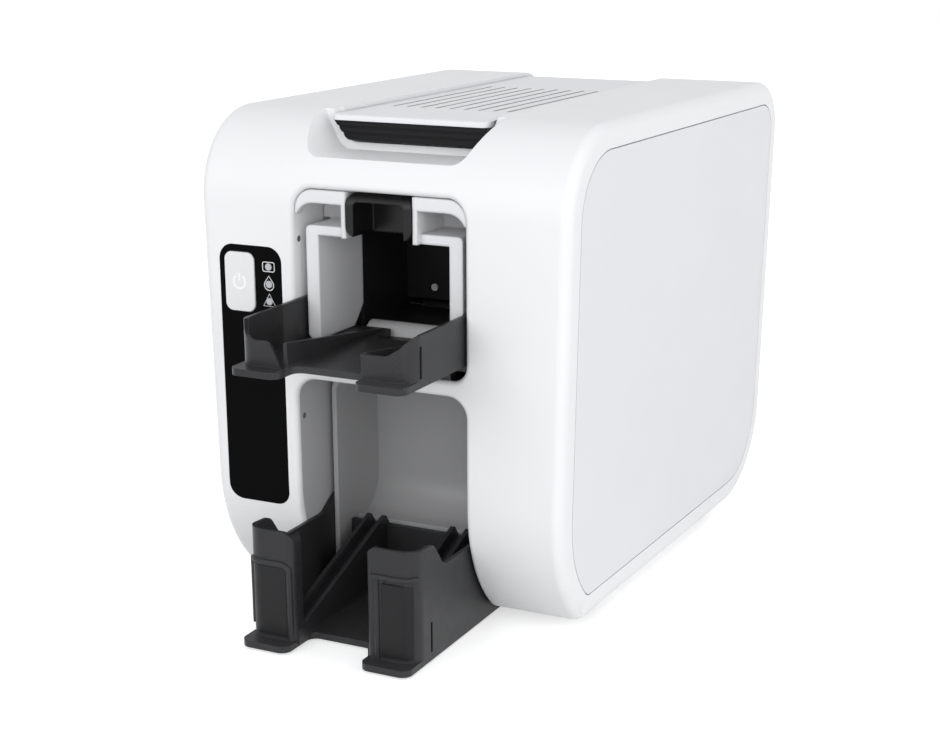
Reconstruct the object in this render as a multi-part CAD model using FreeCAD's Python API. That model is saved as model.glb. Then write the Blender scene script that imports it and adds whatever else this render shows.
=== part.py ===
import FreeCAD, Part
import math
import os

# Desktop printer for plastic identity cards, in millimetres.
# X runs from left to right as the user sees the front, Y from front to back, Z up.
# The drawings below count Y from the front face; every piece is then moved back by
# front_shift, so that the middle of the whole footprint is at the origin.

# Overall size
body_width = 160.6
body_depth = 225.0
body_top = 193.3
foot_height = 4.3
tray_reach = 46.5
side_taper = 3.4
front_shift = (tray_reach - body_depth) / 2

# Side view of the casing
front_top_radius = 34.0
rear_top_radius = 22.0
rear_bottom_radius = 40.0
front_undercut_height = 47.0
undercut_turn = 48.0
undercut_run_out = 2.4
bottom_corner_radius = 7.5
edge_radius = 4.5

# Walls and gaps
wall = 2.5
rim_thickness = 5.0
fit_gap = 0.3
panel_gap = 0.4
overrun = 1.0
least_radius = 1.0
location_tolerance = 0.001

# Side and rear panels
side_panel_inset = 9.5
side_panel_corner = 7.0
ledge_width = 4.5
panel_thickness = 2.5
rear_panel_side_margin = 14.3
rear_panel_low = 48.0
rear_panel_top_margin = 39.3
rear_panel_radius = 6.0
rear_ledge_depth = 2.5
rear_slot_count = 9
rear_slot_pitch = 7.0
rear_slot_half = 1.2
rear_slot_low = 100.0
rear_slot_high = 142.0
rear_slot_first = -28.0

# Front bays
bay_centre = -2.4
bay_half_width = 36.2
upper_bay_low = 99.8
upper_bay_high = 166.7
upper_bay_top_radius = 8.0
upper_bay_bottom_radius = 6.0
lower_bay_high = 93.8
lower_bay_radius = 8.0
bay_lip_radius = 2.0
sleeve_wall = 2.0
sleeve_depth = 28.0
lower_bay_depth = 48.0
wall_screw_y = 5.0
wall_screw_high = 147.0
wall_screw_low = 77.7
wall_screw_radius = 1.2

# Recess for the fingers above the bays
scoop_height = 15.2
scoop_half_floor = 31.5
scoop_flare = 7.5
scoop_radius = 7.0
scoop_depth = 31.0
scoop_wall = 2.0
grip_pocket_depth = 36.0
grip_pocket_inset = 0.6
grip_pocket_narrow = 3.4
lid_seat_gap = 0.5

# Lid
lid_half_width = 33.0
lid_drop = 1.6
lid_thickness = 2.2
lid_front = 25.5
lid_front_corner = 3.0
lid_rear_radius = 18.5
lid_rear_angle = 58.0
lid_seam_angle = 2.0
lid_gap = 0.4
lid_lip_radius = 1.0
skirt_thickness = 2.0
skirt_height = 7.0
skirt_rear_margin = 7.0
skirt_inset = 1.2
vent_count = 9
vent_pitch = 6.25
vent_width = 1.3
vent_front = 60.0
vent_rear_margin = 75.0
hinge_rod_radius = 2.0
knuckle_radius = 5.5
knuckle_width = 4.0
knuckle_inset = 5.0
running_gap = 0.05
knuckle_arm_half = 4.0
opening_drop = 8.2
rod_overhang = 1.0
lid_opening_angle = 78.0
lid_rib_head_space = 69.0
lid_rib_pitch = 45.0
lid_rib_count = 3
lid_rib_height = 1.6
lid_rib_width = 1.4

# Grip strip under the front edge of the lid
grip_front = 27.0
grip_depth = 8.0
grip_rise = 4.0
grip_gap = 0.5
groove_count = 2
groove_width = 0.8
groove_depth = 0.6

# Control panel
control_margin = 8.9
control_bay_margin = 5.1
control_low = 41.1
control_high = 143.7
control_radius = 6.0
control_thickness = 1.2
control_gap = 0.1
button_margin_share = 0.083
button_width_share = 0.48
button_low = 117.9
button_high = 140.9
button_radius = 3.2
button_proud = 0.5
button_gap = 0.3
button_travel = 0.8
light_margin_share = 0.206
light_high = 136.1
light_pitch = 6.7
light_count = 3
light_radius = 1.4
light_proud = 0.2
light_gap = 0.1
button_flange = 1.0
button_flange_thickness = 1.2
board_thickness = 1.6
button_board_y = 12.0
button_board_inset = 0.4
button_board_bay_inset = 1.8
button_board_low = 109.0
button_board_high = 150.0
board_corner = 2.0
boss_radius = 2.5
boss_margin = 3.5
switch_size = 6.0
switch_depth = 4.0
plunger_radius = 1.7

# Frame and lining of the card hopper
portal_setback = 5.0
portal_depth = 33.0
portal_border_high = 166.2
portal_half_outer = 33.0
portal_half_inner = 27.6
portal_low = 109.0
portal_bar_low = 149.0
portal_bar_high = 152.6
portal_radius = 2.0
portal_chamfer = 8.0
hood_half_width = 14.0
hood_high = 166.2
hood_low = 150.0
hood_gap = 0.2
hood_front = 1.6
hood_wall = 3.2
hood_border = 2.0
hood_radius = 4.0
hood_recess = 15.0
hood_front_radius = 5.0
band_front = 2.3
band_height = 5.0
band_low = 157.0
band_thickness = 3.0
pocket_depth = 18.0
liner_wall = 2.0
liner_roller_space = 12.5
liner_floor = 108.3
liner_high = 166.0
liner_leg_low = 107.6
liner_floor_front = 47.0
liner_slot_high = 112.3
liner_flange = 2.0
bed_high = 105.7
bed_front = 2.0
bed_rear = 33.4
bed_rib_count = 4
bed_gap = 0.3
hopper_sensor_x = -17.3
hopper_sensor_z = 117.3
hopper_sensor_radius = 1.5
hopper_sensor_proud = 0.6

# Trays
tray_wall = 1.6
tray_floor = 2.6
tray_gap = 0.5
tray_front = -40.0
tray_corner = 7.0
flange_radius = 4.0
thumb_half_width = 15.4
input_floor = 106.0
input_wall_top = 124.8
input_front_top = 118.1
input_thumb_rear = -33.0
input_side_end = 30.0
input_floor_end = 33.5
input_notch_front = 18.0
input_notch_half = 12.6
rail_front_top = 118.0
rail_slope_share = 0.13
output_floor = 0.8
output_post_top = 46.5
output_side_top = 35.0
output_side_rear_top = 41.0
output_post_rear = -25.0
output_notch_y = -17.0
output_thumb_rear = -28.0
output_floor_end = 44.0
output_side_end = 46.0
ramp_spacing = 6.7
ramp_start_height = 7.3
ramp_slope_share = 0.366
ramp_tip_y = 30.0
ramp_web_drop = 3.0
ramp_rear_drop = 4.5
ramp_wall = 1.8
input_plate_left = -36.0
input_plate_fall = -24.5
input_plate_foot = -19.6
input_plate_low = 107.8
input_right_low = 117.6
input_right_rise = 23.0
input_right_mid = 121.0
input_right_mid_x = 28.5
input_curve_radius = 5.0
rail_left = -18.8
rail_right = 14.0
rail_thickness = 1.6
rail_front = -38.4
output_return_end = -33.5
output_return_radius = 2.5
output_post_fall = 45.5
output_curve_radius = 5.0
output_rise_front = 14.0
output_rise_rear = 24.0
output_wall_lift_y = 24.5
output_wall_lift_z = 8.6
ramp_left = -18.0
ramp_right = 13.2
ramp_front = -38.0
ramp_cross_front = 31.0
ramp_cross_rear = 33.0
ramp_cross_high = 28.0
bead_high = 34.4
bead_low = 6.0
bead_left = -31.0
bead_right = -18.6
bead_radius = 4.0
recess_left = 20.0
recess_right = 30.0
recess_low = 6.0
recess_high = 34.4
recess_depth = 0.6
slot_low = 4.0
slot_high = 16.0
slot_y = -28.0
input_slot_low = 109.5
input_slot_high = 121.0
input_slot_y = -34.0
post_slot_width = 1.5
bead_height = 0.7
bead_width = 1.5

# Chute in the lower bay
chute_front = 22.0
chute_rear = 55.0
chute_wall = 2.0
chute_gap = 2.4
chute_high = 91.5
chute_low = 26.0
chute_side_low = 14.0
chute_lip = 38.0
chute_slot_front = 45.0
chute_slot_rear = 53.0
chute_cove = 14.0
chute_flange_low = 50.0
chute_corner = 6.0

# Chassis
plate_thickness = 1.5
plate_offset = 41.0
plate_front = 57.0
plate_front_radius = 12.0
plate_rear_radius = 8.0
plate_heel_radius = 36.0
nose_front = 30.0
nose_low = 96.5
nose_high = 116.0
nose_radius = 5.0
plate_hole_radius = 16.0
plate_hole_y = 160.0
plate_hole_z = 58.0
flange_front = 62.0
flange_rear = 150.0
plate_rear_margin = 13.0
plate_top_margin = 15.3
plate_flange = 10.0
base_thickness = 1.5
base_front = 56.0
base_rear_margin = 40.5
base_foot_space = 10.0
base_corner = 4.0
opening_front = 66.0
base_overlap = 4.0
tongue_front = 28.0
tongue_width = 7.0
tie_bar_radius = 3.0
tie_front = 70.0
tie_front_height = 40.0
tie_rear_margin = 25.0
tie_rear_height = 60.0
tie_top_margin = 75.0
tie_top_drop = 23.3

# Rubber feet
foot_radius = 7.0
foot_peg_radius = 2.5
foot_side_margin = 20.3
foot_front = 45.0
foot_rear_margin = 47.0
peg_head = 4.0
peg_head_height = 1.5

# Card drive
card_level = 110.0
roller_radius = 6.0
shaft_radius = 3.0
roller_half_length = 25.0
bush_radius = 5.0
bush_flange = 6.5
bush_flange_thickness = 1.0
first_roller_y = 40.0
last_roller_margin = 42.5
roller_count = 4
upper_roller_radius = 5.5
nip_gap = 0.3
gear_width = 6.0
gear_standoff = 3.0
roller_teeth = 16
idler_teeth = 22
pinion_teeth = 12
winder_idler_teeth = 26
winder_teeth = 16
winder_angle = 85.0
tooth_pitch_share = 0.44
tooth_tip_share = 0.2
tooth_root_share = 0.6
addendum_share = 0.9
dedendum_share = 1.25
post_radius = 2.0
post_shoulder = 4.0
post_head = 3.5
post_head_height = 1.0
clip_radius = 4.5
clip_width = 1.0
web_radius_share = 0.62
web_inset = 1.5
hub_ring = 3.0
motor_size_share = 0.6
motor_length = 28.0
motor_radius = 3.0
motor_shaft_radius = 2.0
motor_hole_radius = 4.0
motor_bore = 12.0

# Ribbon and print head
supply_margin = 55.0
supply_z = 150.0
supply_film_radius = 14.0
supply_flange_radius = 16.0
winder_film_radius = 9.0
winder_flange_radius = 13.0
core_radius = 7.0
spool_half_length = 30.0
flange_thickness = 1.6
film_half_width = 28.0
film_thickness = 0.3
head_half_width = 29.0
head_depth = 9.0
head_height = 16.0
head_tip_z = 111.5
head_tip_radius = 1.5
head_tip_depth = 3.0
head_front_rise = 7.0
head_bracket_wall = 2.0
bracket_half_width = 24.0
bracket_window_half = 15.0
bracket_window_low = 138.0
bracket_window_high = 176.0
bracket_radius = 4.0
bracket_flange = 12.0

# Electronics
board_gap = 5.0
standoff_margin = 7.0
chip_size = 14.0
chip_height = 2.0
chip_share_places = ((0.27, 0.54), (0.53, 0.54), (0.27, 0.80))
cap_radius = 4.0
cap_height = 10.0
cap_share_places = ((0.80, 0.46), (0.80, 0.59), (0.80, 0.72))
board_front = 96.0
board_rear_margin = 11.0
board_low = 26.0
board_high = 134.0
standoff_radius = 2.5
usb_width = 9.0
usb_height = 12.0
usb_port_width = 7.0
usb_port_height = 8.0
port_depth = 9.0
usb_tongue = 3.0
usb_length = 16.0
usb_z = 60.0
power_width = 9.0
power_height = 11.0
power_length = 14.0
power_z = 90.0
power_bore = 3.2
power_pin = 1.0
socket_gap = 0.5
socket_setback = 0.5
screw_radius = 1.1
screw_head_radius = 2.0
screw_head_height = 1.2
screw_length = 5.0
screw_inset = 2.6
screw_low = 60.0
screw_high = 142.0
screw_slot_width = 0.5
screw_slot_depth = 0.6

VECTOR = FreeCAD.Vector
bay_left = bay_centre - bay_half_width
bay_right = bay_centre + bay_half_width
tray_left = bay_left + tray_gap
tray_right = bay_right - tray_gap
roller_height = card_level - roller_radius
upper_roller_height = card_level + nip_gap + upper_roller_radius
floor_inside = foot_height + wall
base_top = floor_inside + base_thickness
lid_top = body_top - lid_drop
lid_under = lid_top - lid_thickness
hinge_y = body_depth - rear_top_radius
hinge_z = lid_top - lid_rear_radius
opening_low = hinge_z - opening_drop
scoop_low = body_top - scoop_height
scoop_wall_high = lid_under - lid_seat_gap
grip_low = scoop_low + grip_rise
skirt_front = grip_pocket_depth + scoop_wall + overrun
skirt_rear = hinge_y - skirt_rear_margin
vent_rear = body_depth - vent_rear_margin
control_left = control_margin - body_width / 2
control_right = bay_left - control_bay_margin
control_width = control_right - control_left
button_left = control_left + button_margin_share * control_width
button_right = button_left + button_width_share * control_width
light_x = control_right - light_margin_share * control_width
button_board_left = control_left + button_board_inset
button_board_right = control_right - button_board_bay_inset
foot_x = body_width / 2 - foot_side_margin
foot_rear = body_depth - foot_rear_margin
base_rear = body_depth - base_rear_margin
base_half_width = foot_x - base_foot_space
plate_rear = body_depth - plate_rear_margin
plate_high = body_top - plate_top_margin
board_rear = body_depth - board_rear_margin
rear_panel_half_width = body_width / 2 - rear_panel_side_margin
rear_panel_high = body_top - rear_panel_top_margin
gear_low = bay_centre + plate_offset + plate_thickness + gear_standoff
gear_high = gear_low + gear_width
full_turn = 2 * math.pi
roller_pitch = (body_depth - last_roller_margin - first_roller_y) / (roller_count - 1)
gear_module = roller_pitch / (roller_teeth + idler_teeth)
motor_size = motor_size_share * roller_pitch
head_y = first_roller_y + 2 * roller_pitch
lid_rib_front = head_y - lid_rib_head_space
liner_rear = first_roller_y + roller_pitch - liner_roller_space
supply_y = body_depth - supply_margin
tie_places = ((tie_front, tie_front_height), (body_depth - tie_rear_margin, tie_rear_height),
              (body_depth - tie_top_margin, body_top - tie_top_drop))


def place(axis, a, b, along=0.0):
    """A point of a drawing that is seen along an axis, as a point in space."""
    if axis == "x":
        return VECTOR(along, a, b)
    if axis == "y":
        return VECTOR(a, along, b)
    return VECTOR(a, b, along)


def outline(corners, axis, along=0.0):
    """Closed wire through corners (a, b, radius), each rounded by its radius."""
    stretches = []
    count = len(corners)
    for index in range(count):
        a, b, radius = corners[index]
        before = corners[index - 1]
        after = corners[(index + 1) % count]
        if radius <= 0:
            stretches.append([(a, b)])
            continue
        back = math.atan2(before[1] - b, before[0] - a)
        turn = math.remainder(math.atan2(after[1] - b, after[0] - a) - back, full_turn)
        reach = radius / math.tan(abs(turn) / 2)
        inward = radius / math.sin(abs(turn) / 2) - radius
        start = (a + reach * math.cos(back), b + reach * math.sin(back))
        middle = (a + inward * math.cos(back + turn / 2), b + inward * math.sin(back + turn / 2))
        end = (a + reach * math.cos(back + turn), b + reach * math.sin(back + turn))
        stretches.append([start, middle, end])
    edges = []
    for index in range(count):
        points = [place(axis, *point, along) for point in stretches[index]]
        following = place(axis, *stretches[(index + 1) % count][0], along)
        if len(points) == 3:
            edges.append(Part.Arc(*points).toShape())
        if points[-1].distanceToPoint(following) > location_tolerance:
            edges.append(Part.makeLine(points[-1], following))
    return Part.Wire(edges)


def prism(corners, axis, low, high):
    """Solid with a rounded polygon as its section, between two places on an axis."""
    face = Part.Face(outline(corners, axis, low))
    return face.extrude(place(axis, 0, 0, high - low))


def rectangle(left, right, low, high, radius=0.0):
    return [(left, low, radius), (right, low, radius), (right, high, radius), (left, high, radius)]


def block(left, right, front, rear, low, high):
    return Part.makeBox(right - left, rear - front, high - low, VECTOR(left, front, low))


def rod(axis, a, b, radius, low, high):
    return Part.makeCylinder(radius, high - low, place(axis, a, b, low), place(axis, 0, 0, 1))


def ring(axis, a, b, outer, inner, low, high):
    hole = rod(axis, a, b, inner, low - overrun, high + overrun)
    return rod(axis, a, b, outer, low, high).cut(hole)


def union(pieces):
    whole = pieces[0]
    if len(pieces) > 1:
        whole = whole.fuse(pieces[1:])
    return whole.removeSplitter()


def mirrored(shape):
    """The same shape on the other side of the middle plane of the bays."""
    return shape.mirror(VECTOR(bay_centre, 0, 0), VECTOR(1, 0, 0))


def both_sides(shape):
    return [shape, mirrored(shape)]


def save(name, shape):
    moved = shape.copy()
    moved.translate(VECTOR(0, front_shift, 0))
    moved.exportStep("parts/" + name + ".step")


# Casing

def half_width(height, inset=0.0):
    return body_width / 2 - side_taper * (body_top - height) / body_top - inset


def side_corners(inset, least=least_radius):
    """Side view of the casing, drawn smaller by an inset."""
    turn = math.radians(undercut_turn)
    radius = (front_undercut_height - undercut_run_out) / math.sin(turn)
    apex = foot_height + front_undercut_height - radius * math.tan(turn / 2)
    low = foot_height + inset
    front_apex = apex + inset * math.tan(turn / 2)
    run = (inset - (low - apex) * math.sin(turn)) / math.cos(turn)
    bottom_radius = max(bottom_corner_radius - inset, least)
    slant = (front_apex - low) / math.cos(turn)
    free = slant - bottom_radius * math.tan((math.pi / 2 - turn) / 2) - location_tolerance
    front_radius = min(radius - inset, free / math.tan(turn / 2))
    return [(inset, front_apex, front_radius),
            (run, low, bottom_radius),
            (body_depth - inset, low, max(rear_bottom_radius - inset, least)),
            (body_depth - inset, body_top - inset, max(rear_top_radius - inset, least)),
            (inset, body_top - inset, max(front_top_radius - inset, least))]


def casing_block(inset, side_inset):
    side_view = prism(side_corners(inset), "x", -body_width, body_width)
    low = half_width(0, side_inset)
    high = half_width(body_top, side_inset)
    front_view = prism([(-low, 0, 0), (low, 0, 0), (high, body_top, 0), (-high, body_top, 0)],
                       "y", -overrun, body_depth + overrun)
    return side_view.common(front_view)


def outer_casing():
    whole = casing_block(0, 0)
    rims = []
    for edge in whole.Edges:
        middle = edge.valueAt((edge.FirstParameter + edge.LastParameter) / 2)
        if abs(abs(middle.x) - half_width(middle.z)) < location_tolerance:
            rims.append(edge)
    return whole.makeFillet(edge_radius, rims)


def side_slab(side, inset, depth):
    """Layer along one tapered side, from an inset inwards by a depth."""
    low = half_width(0, inset)
    high = half_width(body_top, inset)
    corners = [(side * (low - depth), 0, 0), (side * low, 0, 0),
               (side * high, body_top, 0), (side * (high - depth), body_top, 0)]
    return prism(corners, "y", -overrun, body_depth + overrun)


def bay_corners(low, high, low_radius, high_radius, grow=0.0):
    return [(bay_left - grow, low - grow, low_radius), (bay_right + grow, low - grow, low_radius),
            (bay_right + grow, high + grow, high_radius + grow),
            (bay_left - grow, high + grow, high_radius + grow)]


def upper_bay(grow, front, rear):
    corners = bay_corners(upper_bay_low, upper_bay_high, upper_bay_bottom_radius + grow,
                          upper_bay_top_radius, grow)
    return prism(corners, "y", front, rear)


def lower_bay(grow, front, rear):
    corners = bay_corners(-overrun, lower_bay_high, 0, lower_bay_radius, grow)
    return prism(corners, "y", front, rear)


def scoop(grow, front, rear, narrow=0.0):
    """Dished recess at the front edge of the top, wider at its rim."""
    top = body_top + scoop_wall + overrun
    flare = scoop_flare * (top - scoop_low) / (body_top - scoop_low)
    half = scoop_half_floor + grow - narrow
    corners = [(bay_centre - half, scoop_low - grow, scoop_radius + grow),
               (bay_centre + half, scoop_low - grow, scoop_radius + grow),
               (bay_centre + half + flare, top, 0), (bay_centre - half - flare, top, 0)]
    return prism(corners, "y", front, rear)


def control_prism(grow, front, rear):
    corners = rectangle(control_left - grow, control_right + grow, control_low - grow,
                        control_high + grow, control_radius + grow)
    return prism(corners, "y", front, rear)


def button_prism(grow, front, rear):
    corners = rectangle(button_left - grow, button_right + grow, button_low - grow,
                        button_high + grow, button_radius + grow)
    return prism(corners, "y", front, rear)


def light_rods(radius, front, rear):
    rods = []
    for index in range(light_count):
        rods.append(rod("y", light_x, light_high - index * light_pitch, radius, front, rear))
    return rods


def button_board_posts(radius, front, rear):
    posts = []
    for x in (button_board_left + boss_margin, button_board_right - boss_margin):
        for z in (button_board_low + boss_margin, button_board_high - boss_margin):
            posts.append(rod("y", x, z, radius, front, rear))
    return posts


def rear_opening(grow, front, rear):
    corners = rectangle(-rear_panel_half_width - grow, rear_panel_half_width + grow,
                        rear_panel_low - grow, rear_panel_high + grow, rear_panel_radius + grow)
    return prism(corners, "y", front, rear)


def rear_screw_places():
    places = []
    for x in (-rear_panel_half_width + screw_inset, rear_panel_half_width - screw_inset):
        for z in (screw_low, screw_high):
            places.append((x, z))
    return places


def mouth_edges(shape, bay):
    """Edges of the front face that run round the mouth of a bay."""
    rim = []
    for edge in shape.Edges:
        middle = edge.valueAt((edge.FirstParameter + edge.LastParameter) / 2)
        if middle.y < bay_lip_radius and bay.distToShape(Part.Vertex(middle))[0] < location_tolerance:
            rim.append(edge)
    return rim


def lid_swing_corners(sweep):
    """Side view of the room behind the hinge that the flat of the lid swings through."""
    seam = math.radians(lid_rear_angle + lid_seam_angle)
    wide = math.radians(lid_opening_angle)
    reach = sweep / math.cos(wide - seam)
    far = rear_top_radius + overrun
    return [(hinge_y, hinge_z, 0), (hinge_y, hinge_z + far, 0), (hinge_y + far, hinge_z + far, 0),
            (hinge_y + 2 * far * math.sin(seam), hinge_z + 2 * far * math.cos(seam), 0),
            (hinge_y + reach * math.sin(seam), hinge_z + reach * math.cos(seam), 0),
            (hinge_y + sweep * math.sin(wide), hinge_z + sweep * math.cos(wide), 0)]


def main_cover():
    outer = outer_casing()
    shell = outer.cut(casing_block(wall, rim_thickness))
    ledge_y = body_depth - panel_thickness
    sleeve_end = portal_setback + portal_depth
    roller_room = block(-body_width, body_width, bed_rear, sleeve_end + overrun, 0, liner_leg_low)
    sleeves = [upper_bay(sleeve_wall, 0, sleeve_end).common(outer).cut(roller_room),
               lower_bay(sleeve_wall, 0, sleeve_depth).common(outer),
               scoop(scoop_wall, 0, grip_pocket_depth + scoop_wall).common(outer),
               rear_opening(sleeve_wall, ledge_y - rear_ledge_depth, ledge_y)]
    posts = button_board_posts(boss_radius, wall, button_board_y)
    cover = union([shell] + sleeves + posts)
    openings = [upper_bay(0, -overrun, sleeve_end + overrun),
                lower_bay(0, -overrun, sleeve_depth + overrun),
                block(bay_left, bay_right, 0, lower_bay_depth, -overrun, floor_inside + wall),
                scoop(0, -overrun, scoop_depth),
                scoop(-grip_pocket_inset, -overrun, grip_pocket_depth, grip_pocket_narrow),
                rear_opening(0, ledge_y, body_depth + overrun),
                rear_opening(-ledge_width, ledge_y - wall - overrun - rear_ledge_depth, body_depth)]
    half = lid_half_width + lid_gap
    pocket_rear = grip_pocket_depth + scoop_wall
    openings.append(block(bay_centre - half, bay_centre + half, -overrun, pocket_rear,
                          scoop_wall_high, body_top + overrun))
    openings.append(block(bay_centre - half, bay_centre + half, pocket_rear,
                          hinge_y, opening_low, body_top + overrun))
    sweep = lid_rear_radius + lid_gap
    openings.append(rod("x", hinge_y, hinge_z, sweep, bay_centre - half, bay_centre + half))
    openings.append(prism(lid_swing_corners(sweep), "x", bay_centre - half, bay_centre + half))
    for side in (-1, 1):
        recess = prism(side_corners(side_panel_inset, side_panel_corner), "x", -body_width, body_width)
        openings.append(recess.common(side_slab(side, -overrun, panel_thickness + overrun)))
        inner = prism(side_corners(side_panel_inset + ledge_width, side_panel_corner), "x",
                      -body_width, body_width)
        openings.append(inner.common(side_slab(side, -overrun, rim_thickness + 2 * overrun)))
    opening_half = base_half_width - base_overlap
    openings.append(block(-opening_half, opening_half, opening_front, base_rear - base_overlap,
                          0, floor_inside + overrun))
    for x in (-foot_x, foot_x):
        for y in (foot_front, foot_rear):
            openings.append(rod("z", x, y, foot_peg_radius, 0, floor_inside + overrun))
    layer = control_prism(control_gap, -overrun, edge_radius).cut(casing_block(control_thickness, 0))
    openings.append(layer)
    openings.append(button_prism(button_gap, -overrun, wall + overrun))
    openings += light_rods(light_radius + light_gap, -overrun, wall + overrun)
    for height in (wall_screw_high, wall_screw_low):
        openings.append(rod("x", wall_screw_y, height, wall_screw_radius,
                            bay_left - sleeve_wall / 2, bay_left + overrun))
    for x, z in rear_screw_places():
        openings.append(rod("y", x, z, screw_radius, ledge_y - wall - rear_ledge_depth, body_depth))
    cover = cover.cut(openings)
    rim = mouth_edges(cover, upper_bay(0, -overrun, sleeve_end))
    rim += mouth_edges(cover, lower_bay(0, -overrun, sleeve_depth))
    return cover.makeFillet(bay_lip_radius, rim)


def side_panel(side):
    inset = side_panel_inset + panel_gap
    shape = prism(side_corners(inset, side_panel_corner), "x", -body_width, body_width)
    return shape.common(side_slab(side, 0, panel_thickness))


def rear_panel():
    ledge_y = body_depth - panel_thickness
    plate = rear_opening(-panel_gap, ledge_y, body_depth)
    cuts = []
    for index in range(rear_slot_count):
        x = rear_slot_first + index * rear_slot_pitch
        corners = rectangle(x - rear_slot_half, x + rear_slot_half, rear_slot_low, rear_slot_high,
                            rear_slot_half * web_radius_share)
        cuts.append(prism(corners, "y", ledge_y - overrun, body_depth + overrun))
    for x, z in rear_screw_places():
        cuts.append(rod("y", x, z, screw_radius, ledge_y - overrun, body_depth + overrun))
        cuts.append(rod("y", x, z, screw_head_radius + fit_gap, body_depth - screw_head_height - fit_gap,
                        body_depth + overrun))
    for left, right, low, high in socket_frames(socket_gap):
        cuts.append(block(left, right, ledge_y - overrun, body_depth + overrun, low, high))
    return plate.cut(cuts)


def rear_panel_screws():
    screws = []
    for x, z in rear_screw_places():
        seat = body_depth - screw_head_height - fit_gap
        head = rod("y", x, z, screw_head_radius, seat, seat + screw_head_height)
        shank = rod("y", x, z, screw_radius, seat - screw_length, seat)
        slot = block(x - screw_head_radius, x + screw_head_radius,
                     seat + screw_head_height - screw_slot_depth, body_depth,
                     z - screw_slot_width, z + screw_slot_width)
        screws.append(union([head, shank]).cut(slot))
    return Part.makeCompound(screws)


def base_plate():
    corners = rectangle(-base_half_width, base_half_width, base_front, base_rear, base_corner)
    pieces = [prism(corners, "z", floor_inside, base_top)]
    inner = bay_half_width - tray_gap
    tongue = prism(rectangle(bay_centre + inner - tongue_width, bay_centre + inner, tongue_front,
                             base_front + base_corner, least_radius), "z", floor_inside, base_top)
    return union(pieces + both_sides(tongue))


def rubber_feet():
    feet = []
    for x in (-foot_x, foot_x):
        for y in (foot_front, foot_rear):
            disc = rod("z", x, y, foot_radius, 0, foot_height)
            disc = disc.makeChamfer(bay_lip_radius / 2, [disc.Edges[2]])
            peg = rod("z", x, y, foot_peg_radius, foot_height, floor_inside)
            head = rod("z", x, y, peg_head, floor_inside, floor_inside + peg_head_height)
            feet.append(union([disc, peg, head]))
    return Part.makeCompound(feet)


# Lid and its hinge

def lid_plate_section():
    """Side view of the lid: flat top, rounded front lip, rear rolled round the hinge."""
    angle = math.radians(lid_rear_angle)
    outer = lid_rear_radius
    inner = lid_rear_radius - lid_thickness
    top = hinge_z + outer
    lip = lid_lip_radius
    points = [place("x", lid_front, top - lip), place("x", lid_front + lip - lip * math.sqrt(2) / 2,
                                                     top - lip + lip * math.sqrt(2) / 2),
              place("x", lid_front + lip, top), place("x", hinge_y, top),
              place("x", hinge_y + outer * math.sin(angle / 2), hinge_z + outer * math.cos(angle / 2)),
              place("x", hinge_y + outer * math.sin(angle), hinge_z + outer * math.cos(angle)),
              place("x", hinge_y + inner * math.sin(angle), hinge_z + inner * math.cos(angle)),
              place("x", hinge_y + inner * math.sin(angle / 2), hinge_z + inner * math.cos(angle / 2)),
              place("x", hinge_y, hinge_z + inner), place("x", lid_front, hinge_z + inner)]
    edges = [Part.Arc(points[0], points[1], points[2]).toShape(), Part.makeLine(points[2], points[3]),
             Part.Arc(points[3], points[4], points[5]).toShape(), Part.makeLine(points[5], points[6]),
             Part.Arc(points[6], points[7], points[8]).toShape(), Part.makeLine(points[8], points[9]),
             Part.makeLine(points[9], points[0])]
    return Part.Face(Part.Wire(edges))


def lid():
    section = lid_plate_section()
    section.translate(VECTOR(bay_centre - lid_half_width, 0, 0))
    plate = section.extrude(VECTOR(2 * lid_half_width, 0, 0))
    plan = [(bay_centre - lid_half_width, lid_front, lid_front_corner),
            (bay_centre + lid_half_width, lid_front, lid_front_corner),
            (bay_centre + lid_half_width, body_depth + overrun, 0),
            (bay_centre - lid_half_width, body_depth + overrun, 0)]
    plate = plate.common(prism(plan, "z", hinge_z - lid_rear_radius, body_top + overrun))
    skirt_outer = bay_centre + lid_half_width - skirt_inset
    skirt_low = lid_under - skirt_height
    joined = lid_under + lid_thickness / 2
    skirt = prism([(skirt_front, joined, 0), (skirt_front, skirt_low, skirt_thickness),
                   (skirt_rear, skirt_low, skirt_thickness), (skirt_rear, joined, 0)],
                  "x", skirt_outer - skirt_thickness, skirt_outer)
    knuckle_outer = bay_centre + lid_half_width - knuckle_inset
    knuckle = rod("x", hinge_y, hinge_z, knuckle_radius, knuckle_outer - knuckle_width, knuckle_outer)
    arm = block(knuckle_outer - knuckle_width, knuckle_outer, hinge_y - knuckle_arm_half,
                hinge_y + knuckle_arm_half, hinge_z, joined)
    arm = arm.common(rod("x", hinge_y, hinge_z, lid_rear_radius - lid_thickness / 2,
                         bay_centre, bay_centre + lid_half_width))
    pieces = [plate] + both_sides(skirt) + both_sides(knuckle) + both_sides(arm)
    for index in range(lid_rib_count):
        y = lid_rib_front + index * lid_rib_pitch
        rib_half = lid_half_width - knuckle_inset
        pieces.append(block(bay_centre - rib_half, bay_centre + rib_half, y, y + lid_rib_width,
                            lid_under - lid_rib_height, joined))
    whole = union(pieces)
    cuts = [rod("x", hinge_y, hinge_z, hinge_rod_radius + running_gap, -body_width, body_width)]
    first = bay_centre - vent_pitch * (vent_count - 1) / 2
    for index in range(vent_count):
        x = first + index * vent_pitch
        corners = rectangle(x - vent_width / 2, x + vent_width / 2, vent_front, vent_rear,
                            vent_width * tooth_pitch_share)
        cuts.append(prism(corners, "z", lid_under - lid_rib_height - overrun, lid_top + overrun))
    return whole.cut(cuts)


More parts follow.
